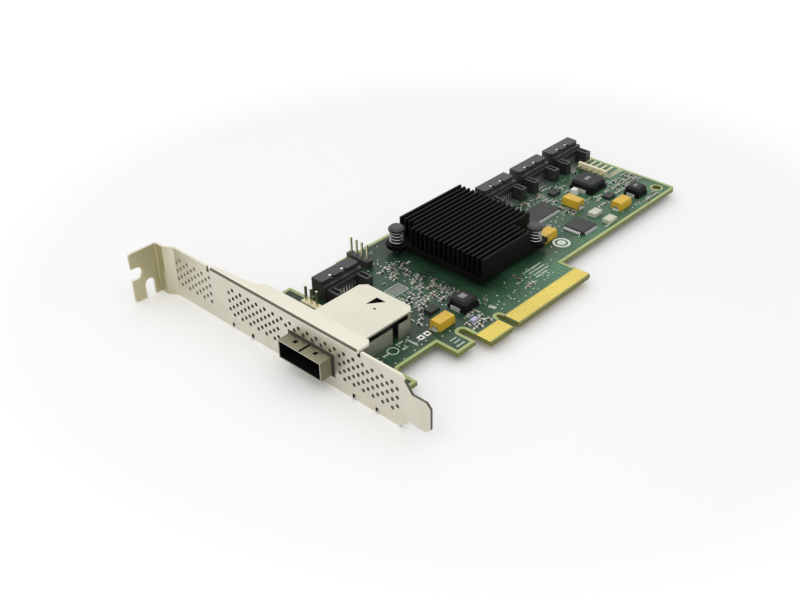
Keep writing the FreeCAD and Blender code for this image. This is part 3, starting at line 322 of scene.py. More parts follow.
# One finish for each slot of the record, then those of the pieces that are added here
finishes = {
    "green_board": solderMask(maskLook),
    "plated_steel": bracketSheet(bracketLook),
    "black_plastic": moulded("blackPlastic", (0.02, 0.02, 0.0205), 0.42, shine=0.45),
    "gold_plate": plated("goldFlash", (0.68, 0.53, 0.108), 0.34),
    "gasket_cloth": moulded("gasketCloth", (0.06, 0.06, 0.06), 0.8, grain=1500, wear=0.4),
    "screw_steel": plated("zincPlate", (0.5, 0.5, 0.49), 0.35),
    "black_anodised": moulded("blackAnodise", (0.0045, 0.0042, 0.0038), 0.5, grain=500, shine=0.07),
    "chip_resin": moulded("chipResin", (0.02, 0.021, 0.019), 0.5, shine=0.35),
    "pad_rubber": moulded("thermalPad", (0.4, 0.42, 0.45), 0.8),
    "spring_steel": plated("springWire", (0.34, 0.34, 0.34), 0.3),
    "tinned_leads": plated("tinnedLeads", (0.6, 0.6, 0.58), 0.35),
    "cream_plastic": moulded("creamPlastic", (0.72, 0.66, 0.45), 0.5, wear=0.08),
    "pale_ceramic": moulded("paleCeramic", (0.52, 0.53, 0.41), 0.35, wear=0.06),
    "white_plastic": moulded("whitePlastic", (0.75, 0.75, 0.72), 0.5, wear=0.05),
    "yellow_resin": moulded("yellowResin", (0.63, 0.40, 0.024), 0.42, wear=0.12),
    "grey_ferrite": moulded("greyFerrite", (0.007, 0.007, 0.0075), 0.3, shine=0.16),
}
extras = {
    "trace": moulded("copperUnderMask", (0.03, 0.078, 0.042), 0.28, grain=700, wear=0.15, shine=0.2),
    "margin": moulded("bareMargin", (0.34, 0.41, 0.14), 0.4, grain=400, wear=0.15),
    "laminate": moulded("bareLaminate", (0.30, 0.29, 0.10), 0.5, grain=700, wear=0.1),
    "ink": moulded("whiteInk", (0.62, 0.68, 0.6), 0.6, grain=1200, wear=0.1),
    "solder": plated("solderTin", (0.58, 0.58, 0.55), 0.3, tint=0.2),
    "tinnedEnds": plated("tinnedEnds", (0.62, 0.62, 0.58), 0.4, metallic=0.35),
    "tanBody": moulded("tanCeramic", (0.17, 0.135, 0.09), 0.5, grain=700, wear=0.25),
    "darkBody": moulded("darkResistor", (0.03, 0.03, 0.034), 0.35, wear=0.2),
    "greyPad": moulded("greyFootprint", (0.16, 0.165, 0.15), 0.5, grain=600, wear=0.15),
    "brightSteel": plated("brightSteel", (0.85, 0.85, 0.83), 0.5),
    # painted highlight: the pale rim on the front edge of the port's mouth
    "rimHighlight": plated("rimHighlight", (0.5, 0.48, 0.4), 0.4),
    "palePins": plated("palePins", (0.66, 0.62, 0.42), 0.3),
    "ringBrass": plated("ringBrass", (0.42, 0.41, 0.2), 0.4),
    "foldShadow": plated("foldShadow", (0.13, 0.12, 0.09), 0.5),
    # painted shade: black sheets inside the port's mouth
    "paintedMouthShade": moulded("paintedMouthShade", (0.004, 0.004, 0.004), 0.6, wear=0.2, shine=0.1),
    "lavender": moulded("lavenderCeramic", (0.45, 0.42, 0.62), 0.4, grain=700, wear=0.06),
    "greyMark": moulded("greyMark", (0.2, 0.205, 0.21), 0.5, wear=0.15),
}
slotOf = {row["node"]: row["material_slot"] for row in frame["record"]["subparts"]}
for name, node in nodes.items():
    for slot in node.material_slots:
        slot.material = finishes[slotOf[name]]
for name in ("pin_header_pins", "jumper_header_pins", "side_header_pins"):
    nodes[name].material_slots[0].material = extras["palePins"]
nodes["port_cage"].material_slots[0].material = cageSheet(cageLook)

# Mesh helpers: everything is drawn in card mm


def addStrip(mesh, left, right, low, high, closed=False):
    # a closed band between two lines of places, from one level to another
    rings = []
    for start, end in zip(left, right):
        rings.append([mesh.verts.new(at(*place, level)) for place, level in
                      ((start, low), (end, low), (end, high), (start, high))])
    pairs = list(zip(rings, rings[1:]))
    if closed:
        pairs.append((rings[-1], rings[0]))
    for first, second in pairs:
        for side in range(4):
            after = (side + 1) % 4
            mesh.faces.new((first[side], first[after], second[after], second[side]))
    if not closed:
        mesh.faces.new(rings[0][::-1])
        mesh.faces.new(rings[-1])


def addBlock(mesh, x, y, wide, deep, low, high):
    # an upright block centred on x, y
    left = [(x - wide / 2, y - deep / 2), (x - wide / 2, y + deep / 2)]
    right = [(x + wide / 2, y - deep / 2), (x + wide / 2, y + deep / 2)]
    addStrip(mesh, left, right, low, high)


def layBlock(mesh, x, y, wide, deep, tall):
    # a block that stands on the board
    addBlock(mesh, x, y, wide, deep, boardTop, boardTop + tall)


def layers(thick):
    # the levels of a thin layer on the board's top face, and of one on its underside
    return (boardTop, boardTop + thick), (-thick, 0.0)


def addRing(mesh, x, y, outer, inner, low, high, sides):
    turns = [2 * math.pi * (step + 0.5) / sides for step in range(sides)]
    edge = [(x + outer * math.cos(turn), y + outer * math.sin(turn)) for turn in turns]
    rim = [(x + inner * math.cos(turn), y + inner * math.sin(turn)) for turn in turns]
    addStrip(mesh, edge, rim, low, high, closed=True)


def shiftPath(points, distance, closed=False):
    # the line moved sideways to its left by a distance, with its corners kept sharp
    moved = []
    count = len(points)
    for i, point in enumerate(points):
        here = Vector(point)
        before = Vector(points[i - 1]) if i or closed else None
        after = Vector(points[(i + 1) % count]) if i < count - 1 or closed else None
        ways = []
        if before is not None:
            ways.append((here - before).normalized())
        if after is not None:
            ways.append((after - here).normalized())
        sides = [Vector((-way.y, way.x)) for way in ways]
        side = sum(sides, Vector((0, 0))).normalized()
        reach = distance / max(side.dot(sides[0]), 0.3)      # a very sharp corner is cut short
        moved.append(tuple(here + side * reach))
    return moved


def addPath(mesh, points, wide, low, high):
    addStrip(mesh, shiftPath(points, wide / 2), shiftPath(points, -wide / 2), low, high)


def addPiece(mesh, name, looks):
    # the finished mesh becomes a piece of the card
    data = bpy.data.meshes.new(name)
    mesh.to_mesh(data)
    mesh.free()
    for look in looks:
        data.materials.append(look)
    piece = addObject(name, data)
    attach(piece, "root")
    return piece


def dressMesh(mesh, name, look):
    # a drawn mesh is turned outwards and gets its one finish
    bmesh.ops.recalc_face_normals(mesh, faces=mesh.faces)
    addPiece(mesh, name, [look])


# Node trees: one lays a row of blocks, one sets dots, one sets chip parts, one winds a spring


def startTree(name, sockets):
    tree = bpy.data.node_groups.new(name, "GeometryNodeTree")
    for label, kind in sockets:
        tree.interface.new_socket(label, in_out="INPUT", socket_type=f"NodeSocket{kind}")
    tree.interface.new_socket("Geometry", in_out="OUTPUT", socket_type="NodeSocketGeometry")
    return tree, tree.nodes.new("NodeGroupInput"), tree.nodes.new("NodeGroupOutput")


def addNodes(tree, *kinds):
    return [tree.nodes.new(f"GeometryNode{kind}") for kind in kinds]


def joinUp(tree, *links):
    for start, out, end, into in links:
        tree.links.new(start.outputs[out], end.inputs[into])


def repeatShape(tree, given, made, places, output, shape):
    # the shape at every place, made real and given its finish
    place, real, paint = addNodes(tree, "InstanceOnPoints", "RealizeInstances", "SetMaterial")
    joinUp(tree, (places, output, place, "Points"), (shape, "Mesh", place, "Instance"),
           (place, "Instances", real, "Geometry"), (real, "Geometry", paint, "Geometry"),
           (given, "Finish", paint, "Material"), (paint, "Geometry", made, "Geometry"))


def rowTree():
    tree, given, made = startTree("rowOfBlocks", [
        ("Count", "Int"), ("Start", "Vector"), ("Step", "Vector"), ("Size", "Vector"),
        ("Finish", "Material")])
    line, block = addNodes(tree, "MeshLine", "MeshCube")
    joinUp(tree, (given, "Count", line, "Count"), (given, "Start", line, "Start Location"),
           (given, "Step", line, "Offset"), (given, "Size", block, "Size"))
    repeatShape(tree, given, made, line, "Mesh", block)
    return tree


def dotTree():
    tree, given, made = startTree("dots", [
        ("Geometry", "Geometry"), ("Radius", "Float"), ("Height", "Float"), ("Sides", "Int"),
        ("Finish", "Material")])
    dot, = addNodes(tree, "MeshCylinder")
    joinUp(tree, (given, "Radius", dot, "Radius"), (given, "Height", dot, "Depth"),
           (given, "Sides", dot, "Vertices"))
    repeatShape(tree, given, made, given, "Geometry", dot)
    return tree


def chipTree():
    # a body between two tinned ends on two pads, turned by the point's own "turn"
    tree, given, made = startTree("chipParts", [
        ("Geometry", "Geometry"), ("Body size", "Vector"), ("End size", "Vector"), ("Pad size", "Vector"),
        ("Body place", "Vector"), ("End place", "Vector"), ("Pad place", "Vector"),
        ("Body finish", "Material"), ("End finish", "Material")])
    mirror, ends, both, tin = addNodes(tree, "Transform", "JoinGeometry", "JoinGeometry", "SetMaterial")
    mirror.inputs["Rotation"].default_value = (0, 0, math.pi)
    for label in ("End", "Pad"):
        block, shift = addNodes(tree, "MeshCube", "Transform")
        joinUp(tree, (given, f"{label} size", block, "Size"), (block, "Mesh", shift, "Geometry"),
               (given, f"{label} place", shift, "Translation"), (shift, "Geometry", ends, "Geometry"))
    body, lift, paint = addNodes(tree, "MeshCube", "Transform", "SetMaterial")
    turn, join, place, real = addNodes(
        tree, "InputNamedAttribute", "JoinGeometry", "InstanceOnPoints", "RealizeInstances")
    turn.data_type = "FLOAT_VECTOR"
    turn.inputs["Name"].default_value = "turn"
    joinUp(tree, (ends, "Geometry", mirror, "Geometry"), (ends, "Geometry", both, "Geometry"),
           (mirror, "Geometry", both, "Geometry"), (both, "Geometry", tin, "Geometry"),
           (given, "End finish", tin, "Material"), (given, "Body size", body, "Size"),
           (body, "Mesh", lift, "Geometry"), (given, "Body place", lift, "Translation"),
           (lift, "Geometry", paint, "Geometry"), (given, "Body finish", paint, "Material"),
           (paint, "Geometry", join, "Geometry"), (tin, "Geometry", join, "Geometry"),
           (given, "Geometry", place, "Points"), (join, "Geometry", place, "Instance"),
           (turn, "Attribute", place, "Rotation"), (place, "Instances", real, "Geometry"),
           (real, "Geometry", made, "Geometry"))
    return tree


def coilTree():
    tree, given, made = startTree("coil", [
        ("Turns", "Float"), ("Radius", "Float"), ("Height", "Float"), ("Wire", "Float"),
        ("Place", "Vector"), ("Finish", "Material")])
    spiral, section, shift = addNodes(tree, "CurveSpiral", "CurvePrimitiveCircle", "Transform")
    sweep, smooth, paint = addNodes(tree, "CurveToMesh", "SetShadeSmooth", "SetMaterial")
    spiral.inputs["Resolution"].default_value = 28      # points in a turn
    section.inputs["Resolution"].default_value = 10     # sides of the wire
    sweep.inputs["Fill Caps"].default_value = True
    joinUp(tree, (given, "Turns", spiral, "Rotations"), (given, "Radius", spiral, "Start Radius"),
           (given, "Radius", spiral, "End Radius"), (given, "Height", spiral, "Height"),
           (given, "Wire", section, "Radius"), (spiral, "Curve", shift, "Geometry"),
           (given, "Place", shift, "Translation"), (shift, "Geometry", sweep, "Curve"),
           (section, "Curve", sweep, "Profile Curve"), (sweep, "Mesh", smooth, "Geometry"),
           (smooth, "Geometry", paint, "Geometry"), (given, "Finish", paint, "Material"),
           (paint, "Geometry", made, "Geometry"))
    return tree


def grow(tree, values, base=None):
    # run a node tree and give back its result as a plain mesh
    holder = addObject("holder", base or bpy.data.meshes.new("holder"))
    modifier = holder.modifiers.new("grow", "NODES")
    modifier.node_group = tree
    for item in tree.interface.items_tree:
        if item.in_out == "INPUT" and item.name in values:
            modifier[item.identifier] = values[item.name]
    graph = bpy.context.evaluated_depsgraph_get()
    graph.update()
    grown = bpy.data.meshes.new_from_object(holder.evaluated_get(graph), depsgraph=graph)
    holder.modifiers.remove(modifier)
    bpy.data.objects.remove(holder)
    return grown


def joinMeshes(name, grown):
    # several grown meshes become one piece, each face keeping its own material
    looks = []
    mesh = bmesh.new()
    for data in grown:
        start = len(mesh.faces)
        mesh.from_mesh(data)
        mesh.faces.ensure_lookup_table()
        for look in data.materials:
            if look not in looks:
                looks.append(look)
        for face in mesh.faces[start:]:
            face.material_index = looks.index(data.materials[face.material_index])
    return addPiece(mesh, name, looks)


def pointMesh(places, turns=None):
    data = bpy.data.meshes.new("places")
    data.from_pydata([at(*place) for place in places], [], [])
    if turns:
        layer = data.attributes.new("turn", "FLOAT_VECTOR", "POINT")
        for entry, turn in zip(layer.data, turns):
            entry.vector = turn
    return data


def metres(*sizes):
    return tuple(size * mm for size in sizes)


rows = rowTree()
dots = dotTree()
chips = chipTree()
coils = coilTree()

# Edge connector: gold contacts on both sides, on bare laminate
contacts = {"groups": ((44.2, 11), (58.3, 38)),      # middle of the first contact, how many
            "pitch": 1.0, "wide": 0.72, "start": 0.55, "end": 5.9, "thick": 0.05,
            "laminateEnd": 6.3, "laminateThick": 0.02, "laminateIn": 0.1}
print("edge contacts")
middle = (contacts["start"] + contacts["end"]) / 2
long = contacts["end"] - contacts["start"]
grown = []
laminate = bmesh.new()
for start, count in contacts["groups"]:
    wide = count * contacts["pitch"]
    for low, high in layers(contacts["thick"]):
        grown.append(grow(rows, {
            "Count": count, "Start": at(start, middle, (low + high) / 2),
            "Step": metres(contacts["pitch"], 0, 0),
            "Size": metres(contacts["wide"], long, contacts["thick"]), "Finish": finishes["gold_plate"]}))
    for levels in layers(contacts["laminateThick"]):
        addBlock(laminate, start + (wide - contacts["pitch"]) / 2, contacts["laminateEnd"] / 2,
                 wide - contacts["laminateIn"], contacts["laminateEnd"], *levels)
joinMeshes("edge_contacts", grown)
dressMesh(laminate, "edge_laminate", extras["laminate"])

# Board margin: the mask stops short of the cut edge, so a band of bare laminate runs round it
margin = {"wide": 1.15, "thick": 0.016}


def boardOutline(upward=0.99):
    # the board's outer edge in card mm, read anticlockwise from the faces that look up
    mesh = bmesh.new()
    mesh.from_mesh(nodes["circuit_board"].data)
    bmesh.ops.remove_doubles(mesh, verts=mesh.verts, dist=1e-6)
    ahead = {}
    for face in mesh.faces:
        if face.normal.z > upward:
            for loop in face.loops:
                others = [f for f in loop.edge.link_faces if f is not face]
                if all(other.normal.z < upward for other in others):
                    ahead[loop.vert] = loop.link_loop_next.vert
    start = min(ahead, key=lambda vert: vert.co.x + vert.co.y)
    outline = []
    vert = start
    while not outline or vert is not start:
        place = cardPlace(vert.co)
        outline.append((place.x, place.y))
        vert = ahead[vert]
    mesh.free()
    return outline


def marginRuns(outline, inner, first, last, stop):
    # the band's stretches, each with its edge and its rim, cut off at the stop line beside the contacts
    runs = [([], [])]
    for i in range(len(outline)):
        ends = [(outline[i - 1], inner[i - 1]), (outline[i], inner[i])]
        beside = all(first < edge[0] < last for edge, rim in ends)
        lows = [beside and edge[1] < stop for edge, rim in ends]
        if all(lows):
            runs.append(([], []))
            continue
        for k in (0, 1):
            edge, rim = ends[k]
            if lows[k]:
                edge = (edge[0], stop)
                rim = (rim[0], stop)
            if k or not runs[-1][0] or lows[0]:
                runs[-1][0].append(edge)
                runs[-1][1].append(rim)
        if lows[1]:
            runs.append(([], []))
    for side in (0, 1):
        runs[0][side][:0] = runs[-1][side][:-1]      # the last stretch runs on into the first
    return [run for run in runs[:-1] if len(run[0]) > 1]


print("board margin")
outline = boardOutline()
inner = shiftPath(outline, margin["wide"], closed=True)
lastStart, lastCount = contacts["groups"][-1]
runs = marginRuns(outline, inner, contacts["groups"][0][0] - contacts["pitch"],
                  lastStart + lastCount * contacts["pitch"], contacts["laminateEnd"])
edging = bmesh.new()
for levels in layers(margin["thick"]):
    for edge, rim in runs:
        addStrip(edging, edge, rim, *levels)
dressMesh(edging, "board_margin", extras["margin"])

# Copper tracks under the mask: bundles of lines with bends at 45 degrees
tracks = {"thick": 0.012, "backShift": (1.6, 2.2), "farthest": 166.5, "bundles": (
    # places of the first line, number of lines, pitch, width
    (((58.3, 6.4), (58.3, 20.0)), 19, 2.0, 0.34),
    (((59.3, 6.4), (59.3, 13.0), (61.3, 15.0), (61.3, 21.0)), 12, 2.0, 0.3),
    (((44.2, 6.4), (44.2, 9.5), (46.2, 11.5), (46.2, 14.5)), 9, 1.0, 0.3),
    (((38.0, 21.5), (41.0, 21.5), (49.0, 29.5), (49.0, 50.0)), 8, 0.7, 0.28),
    (((50.0, 31.0), (57.0, 38.0), (64.0, 38.0)), 9, 0.75, 0.28),
    (((49.0, 50.0), (56.0, 57.0), (56.0, 66.5)), 5, 1.1, 0.3),
    (((101.0, 30.0), (106.0, 35.0), (106.0, 46.0), (110.0, 50.0)), 10, 0.8, 0.3),
    (((114.0, 26.0), (114.0, 32.0)), 12, 0.85, 0.3),
    (((124.5, 17.0), (128.0, 20.5), (128.0, 40.0)), 5, 0.7, 0.28),
    (((111.5, 43.0), (115.0, 46.5), (130.0, 46.5)), 7, 0.8, 0.3),
    (((131.0, 12.9), (163.0, 12.9), (166.0, 15.9), (166.0, 33.0)), 3, 0.7, 0.3),
    (((139.0, 26.0), (139.0, 31.0), (145.0, 31.0), (147.0, 29.0), (166.0, 29.0)), 4, 0.8, 0.3),
    (((143.0, 47.5), (150.0, 47.5), (153.0, 44.5), (153.0, 38.0)), 5, 0.8, 0.3),
    (((15.0, 14.5), (29.0, 14.5), (31.0, 12.5)), 4, 0.75, 0.26),
    (((68.5, 19.5), (94.0, 19.5)), 2, 0.9, 0.3),
    (((97.0, 13.4), (112.5, 13.4), (114.0, 14.9)), 3, 0.8, 0.3))}
print("tracks")
copper = bmesh.new()
shiftX, shiftY = tracks["backShift"]
top, under = layers(tracks["thick"])
for points, count, pitch, wide in tracks["bundles"]:
    for line in range(count):
        path = shiftPath(points, -line * pitch)
        addPath(copper, path, wide, *top)
        back = [(min(x + shiftX, tracks["farthest"]), y + shiftY) for x, y in path]
        addPath(copper, back, wide, *under)
dressMesh(copper, "copper_tracks", extras["trace"])

# Small soldered parts: zones of chip parts, kept clear of the larger pieces
chipParts = {
    "sizes": {"tiny": (1.0, 0.5, 0.4), "small": (1.6, 0.8, 0.5), "large": (2.0, 1.25, 0.8)},
    "often": (5, 4, 1), "upright": 0.35,      # how often each size comes, and a part that is turned
    "grid": (2.25, 1.55), "stray": (0.25, 0.15), "apart": (1.7, 1.35), "clear": 1.1, "headroom": 4,
    "body": (0.6, 0.94), "end": (0.24, 0.38), "pad": (0.4, 1.15, 0.5),      # shares of the part's size
    "padThick": 0.06, "lift": 0.02, "seed": 41}
zones = (
    # two corners, share of places taken, share of dark bodies, 1 for the top or -1 for the underside
    ((42.5, 26.5), (63.3, 38.5), 0.7, 0.4, 1), ((50.0, 38.5), (63.3, 52.5), 0.62, 0.35, 1),
    ((36.0, 22.5), (42.5, 33.0), 0.5, 0.5, 1), ((58.5, 15.0), (63.8, 27.0), 0.75, 0.35, 1),
    ((46.0, 8.2), (53.0, 14.5), 0.55, 0.3, 1), ((75.5, 9.0), (80.5, 18.5), 0.6, 0.6, 1),
    ((113.0, 43.5), (129.0, 52.0), 0.7, 0.35, 1), ((126.5, 34.0), (130.5, 51.0), 0.6, 0.4, 1),
    ((136.0, 40.0), (141.0, 48.0), 0.8, 0.4, 1), ((125.5, 26.0), (129.0, 34.0), 0.5, 0.4, 1),
    ((137.0, 22.5), (150.0, 31.0), 0.7, 0.45, 1), ((150.0, 25.0), (167.0, 33.5), 0.8, 0.35, 1),
    ((152.5, 37.5), (156.0, 50.0), 0.5, 0.4, 1), ((158.5, 38.0), (167.0, 49.0), 0.5, 0.4, 1),
    ((148.0, 14.0), (160.0, 17.0), 0.65, 0.4, 1), ((100.5, 44.0), (106.0, 57.0), 0.5, 0.4, 1),
    ((124.5, 26.0), (127.0, 30.0), 0.4, 0.4, 1), ((34.0, 47.0), (47.0, 52.5), 0.2, 0.4, 1),
    ((72.0, 31.0), (92.0, 51.0), 0.3, 0.1, -1), ((108.0, 30.0), (124.0, 44.0), 0.14, 0.3, -1))
random.seed(chipParts["seed"])
lowParts = ("circuit_board", "bracket", "port_cage", "capacitor_terminals", "bracket_screws")
blockers = [      # kept free: the blank footprint, the printed ring, the far pads and the corner hole
    (42.0, 39.0, 49.5, 44.5), (102.5, 15.5, 110.2, 23.2),
    (157.5, 33.5, 168.6, 37.0), (160.5, 13.5, 166.8, 19.8)]
for name in nodes:
    low, high = cardBox(name)
    if name not in lowParts and low.z < boardTop + chipParts["headroom"]:
        blockers.append((low.x, low.y, high.x, high.y))
low, high = cardBox("port_cage")
blockers.append((0, low.y, high.x, high.y))


def clearOf(x, y, reach, face):
    # whether a small part fits there: the underside has no larger pieces
    if face < 0:
        return True
    for left, near, right, far in blockers:
        if left - reach < x < right + reach and near - reach < y < far + reach:
            return False
    return True


print("small parts")
planned = {(size, body, face): [] for size in chipParts["sizes"]
           for body in ("tanBody", "darkBody") for face in (1, -1)}
chipPlaces = []
strayX, strayY = chipParts["stray"]
apartX, apartY = chipParts["apart"]
for (startX, startY), (endX, endY), share, dark, face in zones:
    across = startX
    while across < endX:
        along = startY
        while along < endY:
            x = across + random.uniform(-strayX, strayX)
            y = along + random.uniform(-strayY, strayY)
            size = random.choices(tuple(chipParts["sizes"]), chipParts["often"])[0]
            upright = random.random() < chipParts["upright"]
            body = "darkBody" if random.random() < dark else "tanBody"
            if random.random() < share and clearOf(x, y, chipParts["clear"], face):
                if not any(side == face and abs(placeX - x) < apartX and abs(placeY - y) < apartY
                           for placeX, placeY, side in chipPlaces):
                    chipPlaces.append((x, y, face))
                    planned[size, body, face].append((x, y, upright))
            along += chipParts["grid"][1]
        across += chipParts["grid"][0]
grown = []
bodyLong, bodyWide = chipParts["body"]
endLong, endOut = chipParts["end"]
padLong, padWide, padOut = chipParts["pad"]
for (size, body, face), places in planned.items():
    if not places:
        continue
    longSide, wide, tall = chipParts["sizes"][size]
    level = boardTop if face > 0 else 0.0
    turns = [(0 if face > 0 else math.pi, 0, math.pi / 2 if upright else 0) for x, y, upright in places]
    grown.append(grow(chips, {
        "Body size": metres(longSide * bodyLong, wide * bodyWide, tall * bodyWide),
        "Body place": metres(0, 0, tall * 0.5),
        "End size": metres(longSide * endLong, wide, tall),
        "End place": metres(longSide * endOut, 0, tall * 0.5 + chipParts["lift"]),
        "Pad size": metres(longSide * padLong, wide * padWide, chipParts["padThick"]),
        "Pad place": metres(longSide * padOut, 0, chipParts["padThick"] / 2),
        "Body finish": extras[body], "End finish": extras["solder"]},
        pointMesh([(x, y, level) for x, y, upright in places], turns)))
joinMeshes("chip_parts", grown)
print("   ", len(chipPlaces), "chip parts")

# Vias, test dots and the solder points of the through pins
socketBoxes = [cardBox(f"data_socket_{index}") for index in range(1, 5)]
vias = {"round": 0.26, "high": 0.05, "sides": 8, "clear": 0.4, "zones": (      # two corners, how many
    ((58, 7), (95, 18), 46), ((36, 23), (63, 66), 90), ((97, 14), (114, 30), 26),
    ((112, 26), (130, 52), 50), ((130, 14), (167, 50), 90), ((14, 13), (42, 21), 22))}
solder = {"round": 0.75, "high": 0.35, "sides": 12, "level": -0.1, "pitch": 2.54, "firstPin": 0.3,
          "pins": {"pin_header_pins": 4, "jumper_header_pins": 3},
          "socketAcross": (2.2, 14.6), "socketIn": (6.0, 9.4), "cageAcross": (6, 14, 22, 28), "cageIn": 1.2}


def growDots(dot, places, finish):
    return grow(dots, {"Radius": dot["round"] * mm, "Height": dot["high"] * mm, "Sides": dot["sides"],
                       "Finish": finish}, pointMesh(places))


print("vias")
viaPlaces = []
for (startX, startY), (endX, endY), count in vias["zones"]:
    for turn in range(count):
        x = random.uniform(startX, endX)
        y = random.uniform(startY, endY)
        if clearOf(x, y, vias["clear"], 1):
            viaPlaces.append((x, y, boardTop))
        viaPlaces.append((x, y, 0.0))
solderPlaces = []
for name, count in solder["pins"].items():
    low, high = cardBox(name)
    for pin in range(count):
        place = low.y + solder["firstPin"] + pin * solder["pitch"]
        solderPlaces.append(((low.x + high.x) / 2, place, solder["level"]))
for low, high in socketBoxes:
    for across in solder["socketAcross"]:
        for inside in solder["socketIn"]:
            solderPlaces.append((low.x + across, high.y - inside, solder["level"]))
low, high = cardBox("port_cage")
for across in solder["cageAcross"]:
    for place in (low.y + solder["cageIn"], high.y - solder["cageIn"]):
        solderPlaces.append((low.x + across, place, solder["level"]))
joinMeshes("vias_and_solder", [growDots(vias, viaPlaces, extras["ink"]),
                               growDots(solder, solderPlaces, extras["solder"])])

# Solder tails behind the data sockets, and the row of pale pads at the far edge
tails = {"count": 7, "pitch": 1.27, "first": 4.6, "place": 50.9, "size": (0.62, 2.8, 0.06)}
farPads = {"count": 9, "pitch": 1.05, "first": 158.6, "place": 35.3, "size": (0.42, 2.4, 0.08)}


def padRow(row, start, finish):
    # a row of thin blocks that lie on the board
    first = at(start + row["first"], row["place"], boardTop + row["size"][2] / 2)
    return grow(rows, {"Count": row["count"], "Start": first, "Step": metres(row["pitch"], 0, 0),
                       "Size": metres(*row["size"]), "Finish": finish})


print("contact pads")
grown = [padRow(tails, low.x, finishes["tinned_leads"]) for low, high in socketBoxes]
grown.append(padRow(farPads, 0, finishes["cream_plastic"]))
joinMeshes("contact_pads", grown)

# Latch leaves: bright steel in the two windows on top of each data socket
leaf = {"windows": (5.1, 10.45), "in": 3.1, "wide": 1.28, "deep": 0.98, "tall": 1.0, "below": 0.25}
print("latch leaves")
leaves = bmesh.new()
for low, high in socketBoxes:
    top = high.z - leaf["below"]
    for window in leaf["windows"]:
        addBlock(leaves, low.x + window, high.y - leaf["in"], leaf["wide"], leaf["deep"],
                 top - leaf["tall"], top)
dressMesh(leaves, "latch_leaves", extras["brightSteel"])

# Springs: smooth coils in place of the CAD's straight runs
springs = {"turns": 3.5, "wire": 0.28}      # the wire by its radius
print("springs")
for which in ("upper", "lower"):
    low, high = cardBox(f"pin_spring_{which}")
    middle = (low + high) / 2
    wire = springs["wire"]
    coil = grow(coils, {
        "Turns": springs["turns"], "Radius": ((high.x - low.x) / 2 - wire) * mm,
        "Height": (high.z - low.z - 2 * wire) * mm, "Wire": wire * mm,
        "Place": at(middle.x, middle.y, low.z + wire), "Finish": finishes["spring_steel"]})
    spring = joinMeshes(f"spring_{which}", [coil])
    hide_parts(f"pin_spring_{which}")

# Printed marks: plain outlines, bars and rings in white ink, with no lettering
ink = {"thick": 0.022, "line": 0.22, "barWide": 0.34, "barStep": 0.62, "tall": 0.9, "smallTall": 0.5,
       "besideChips": 0.6, "shift": (0.4, 0.85), "clear": 1.2, "barAt": (-0.5, 0.95)}
blank = {"place": (45.8, 41.7), "size": (5.8, 3.9), "thick": 0.02, "outline": 0.4}      # an empty footprint
barRows = (      # x, y, how many bars, whether they stack upwards
    (16.5, 19.3, 5, False), (27.7, 16.0, 8, True), (23.3, 17.6, 4, False), (23.5, 20.6, 5, False),
    (35.3, 6.4, 6, False), (82.5, 16.8, 14, False), (82.5, 15.2, 14, False), (83.0, 13.6, 13, False),
    (82.5, 12.2, 10, False), (54.0, 13.2, 5, True), (60.0, 50.5, 4, False), (147.0, 15.2, 5, False),
    (126.0, 14.2, 6, False), (112.0, 29.5, 4, False), (132.5, 47.5, 6, False))
rings = (      # x, y, outer and inner radius, sides
    (106.3, 19.3, 3.2, 2.3, 32), (106.3, 19.3, 1.6, 0.25, 24), (20.5, 19.3, 1.9, 1.6, 20))
strokes = ((37.3, 9.8, 2.9, 0.3), (37.3, 8.2, 2.9, 0.3))      # x, y, width, depth
print("printed marks")
marks = bmesh.new()


def inkFrame(x, y, wide, deep):
    # an outline round a part, its long sides in two strokes each
    for side in (-1, 1):
        layBlock(marks, x + side * wide / 2, y, ink["line"], deep, ink["thick"])
        for half in (-1, 1):
            layBlock(marks, x + half * wide / 4, y + side * deep / 2, wide / 2, ink["line"], ink["thick"])


def inkBars(x, y, count, stacked=False, tall=ink["tall"]):
    # a short row of bars of uneven length
    for bar in range(count):
        step = bar * ink["barStep"]
        length = tall * random.uniform(0.6, 1)
        if stacked:
            layBlock(marks, x, y + step, length, ink["barWide"], ink["thick"])
        else:
            layBlock(marks, x + step, y, ink["barWide"], length, ink["thick"])


inkFrame(*blank["place"], *[side + 2 * blank["outline"] for side in blank["size"]])
for x, y, count, stacked in barRows:
    inkBars(x, y, count, stacked)
for x, y, face in chipPlaces:
    if (face > 0 and random.random() < ink["besideChips"]
            and clearOf(x + ink["shift"][0], y + ink["shift"][1], ink["clear"], face)):
        inkBars(x + ink["barAt"][0], y + ink["barAt"][1], random.randint(2, 3), tall=ink["smallTall"])
for *ring, sides in rings:
    addRing(marks, *ring, boardTop, boardTop + ink["thick"], sides)
for stroke in strokes:
    layBlock(marks, *stroke, ink["thick"])
dressMesh(marks, "printed_marks", extras["ink"])

# Pads of bare tinned copper, the ring round the corner hole, an empty footprint and one odd part
tinned = {"thick": 0.03, "blockThick": 0.06, "squares": ((31.35, 17.7, 1.5, 0.72), (34.2, 17.7, 1.5, 0.72)),
          "blocks": ((37.0, 18.0, 1.3, 1.5), (59.0, 12.0, 1.4, 2.6), (52.0, 9.6, 1.0, 0.8),
                     (66.0, 17.0, 1.2, 1.0), (128.5, 14.6, 1.5, 0.8))}
cornerRing = {"place": (163.64, 16.64), "radii": (2.35, 1.75), "sides": 28}
lavender = {"place": (49.0, 11.3), "size": (2.2, 1.5), "tall": 0.9}
print("pads")
pads = bmesh.new()
holeRing = bmesh.new()
for square in tinned["squares"]:
    for levels in layers(tinned["thick"]):
        addRing(pads, *square, *levels, sides=4)
for levels in layers(tinned["thick"]):
    addRing(holeRing, *cornerRing["place"], *cornerRing["radii"], *levels, cornerRing["sides"])
dressMesh(holeRing, "hole_ring", extras["ringBrass"])
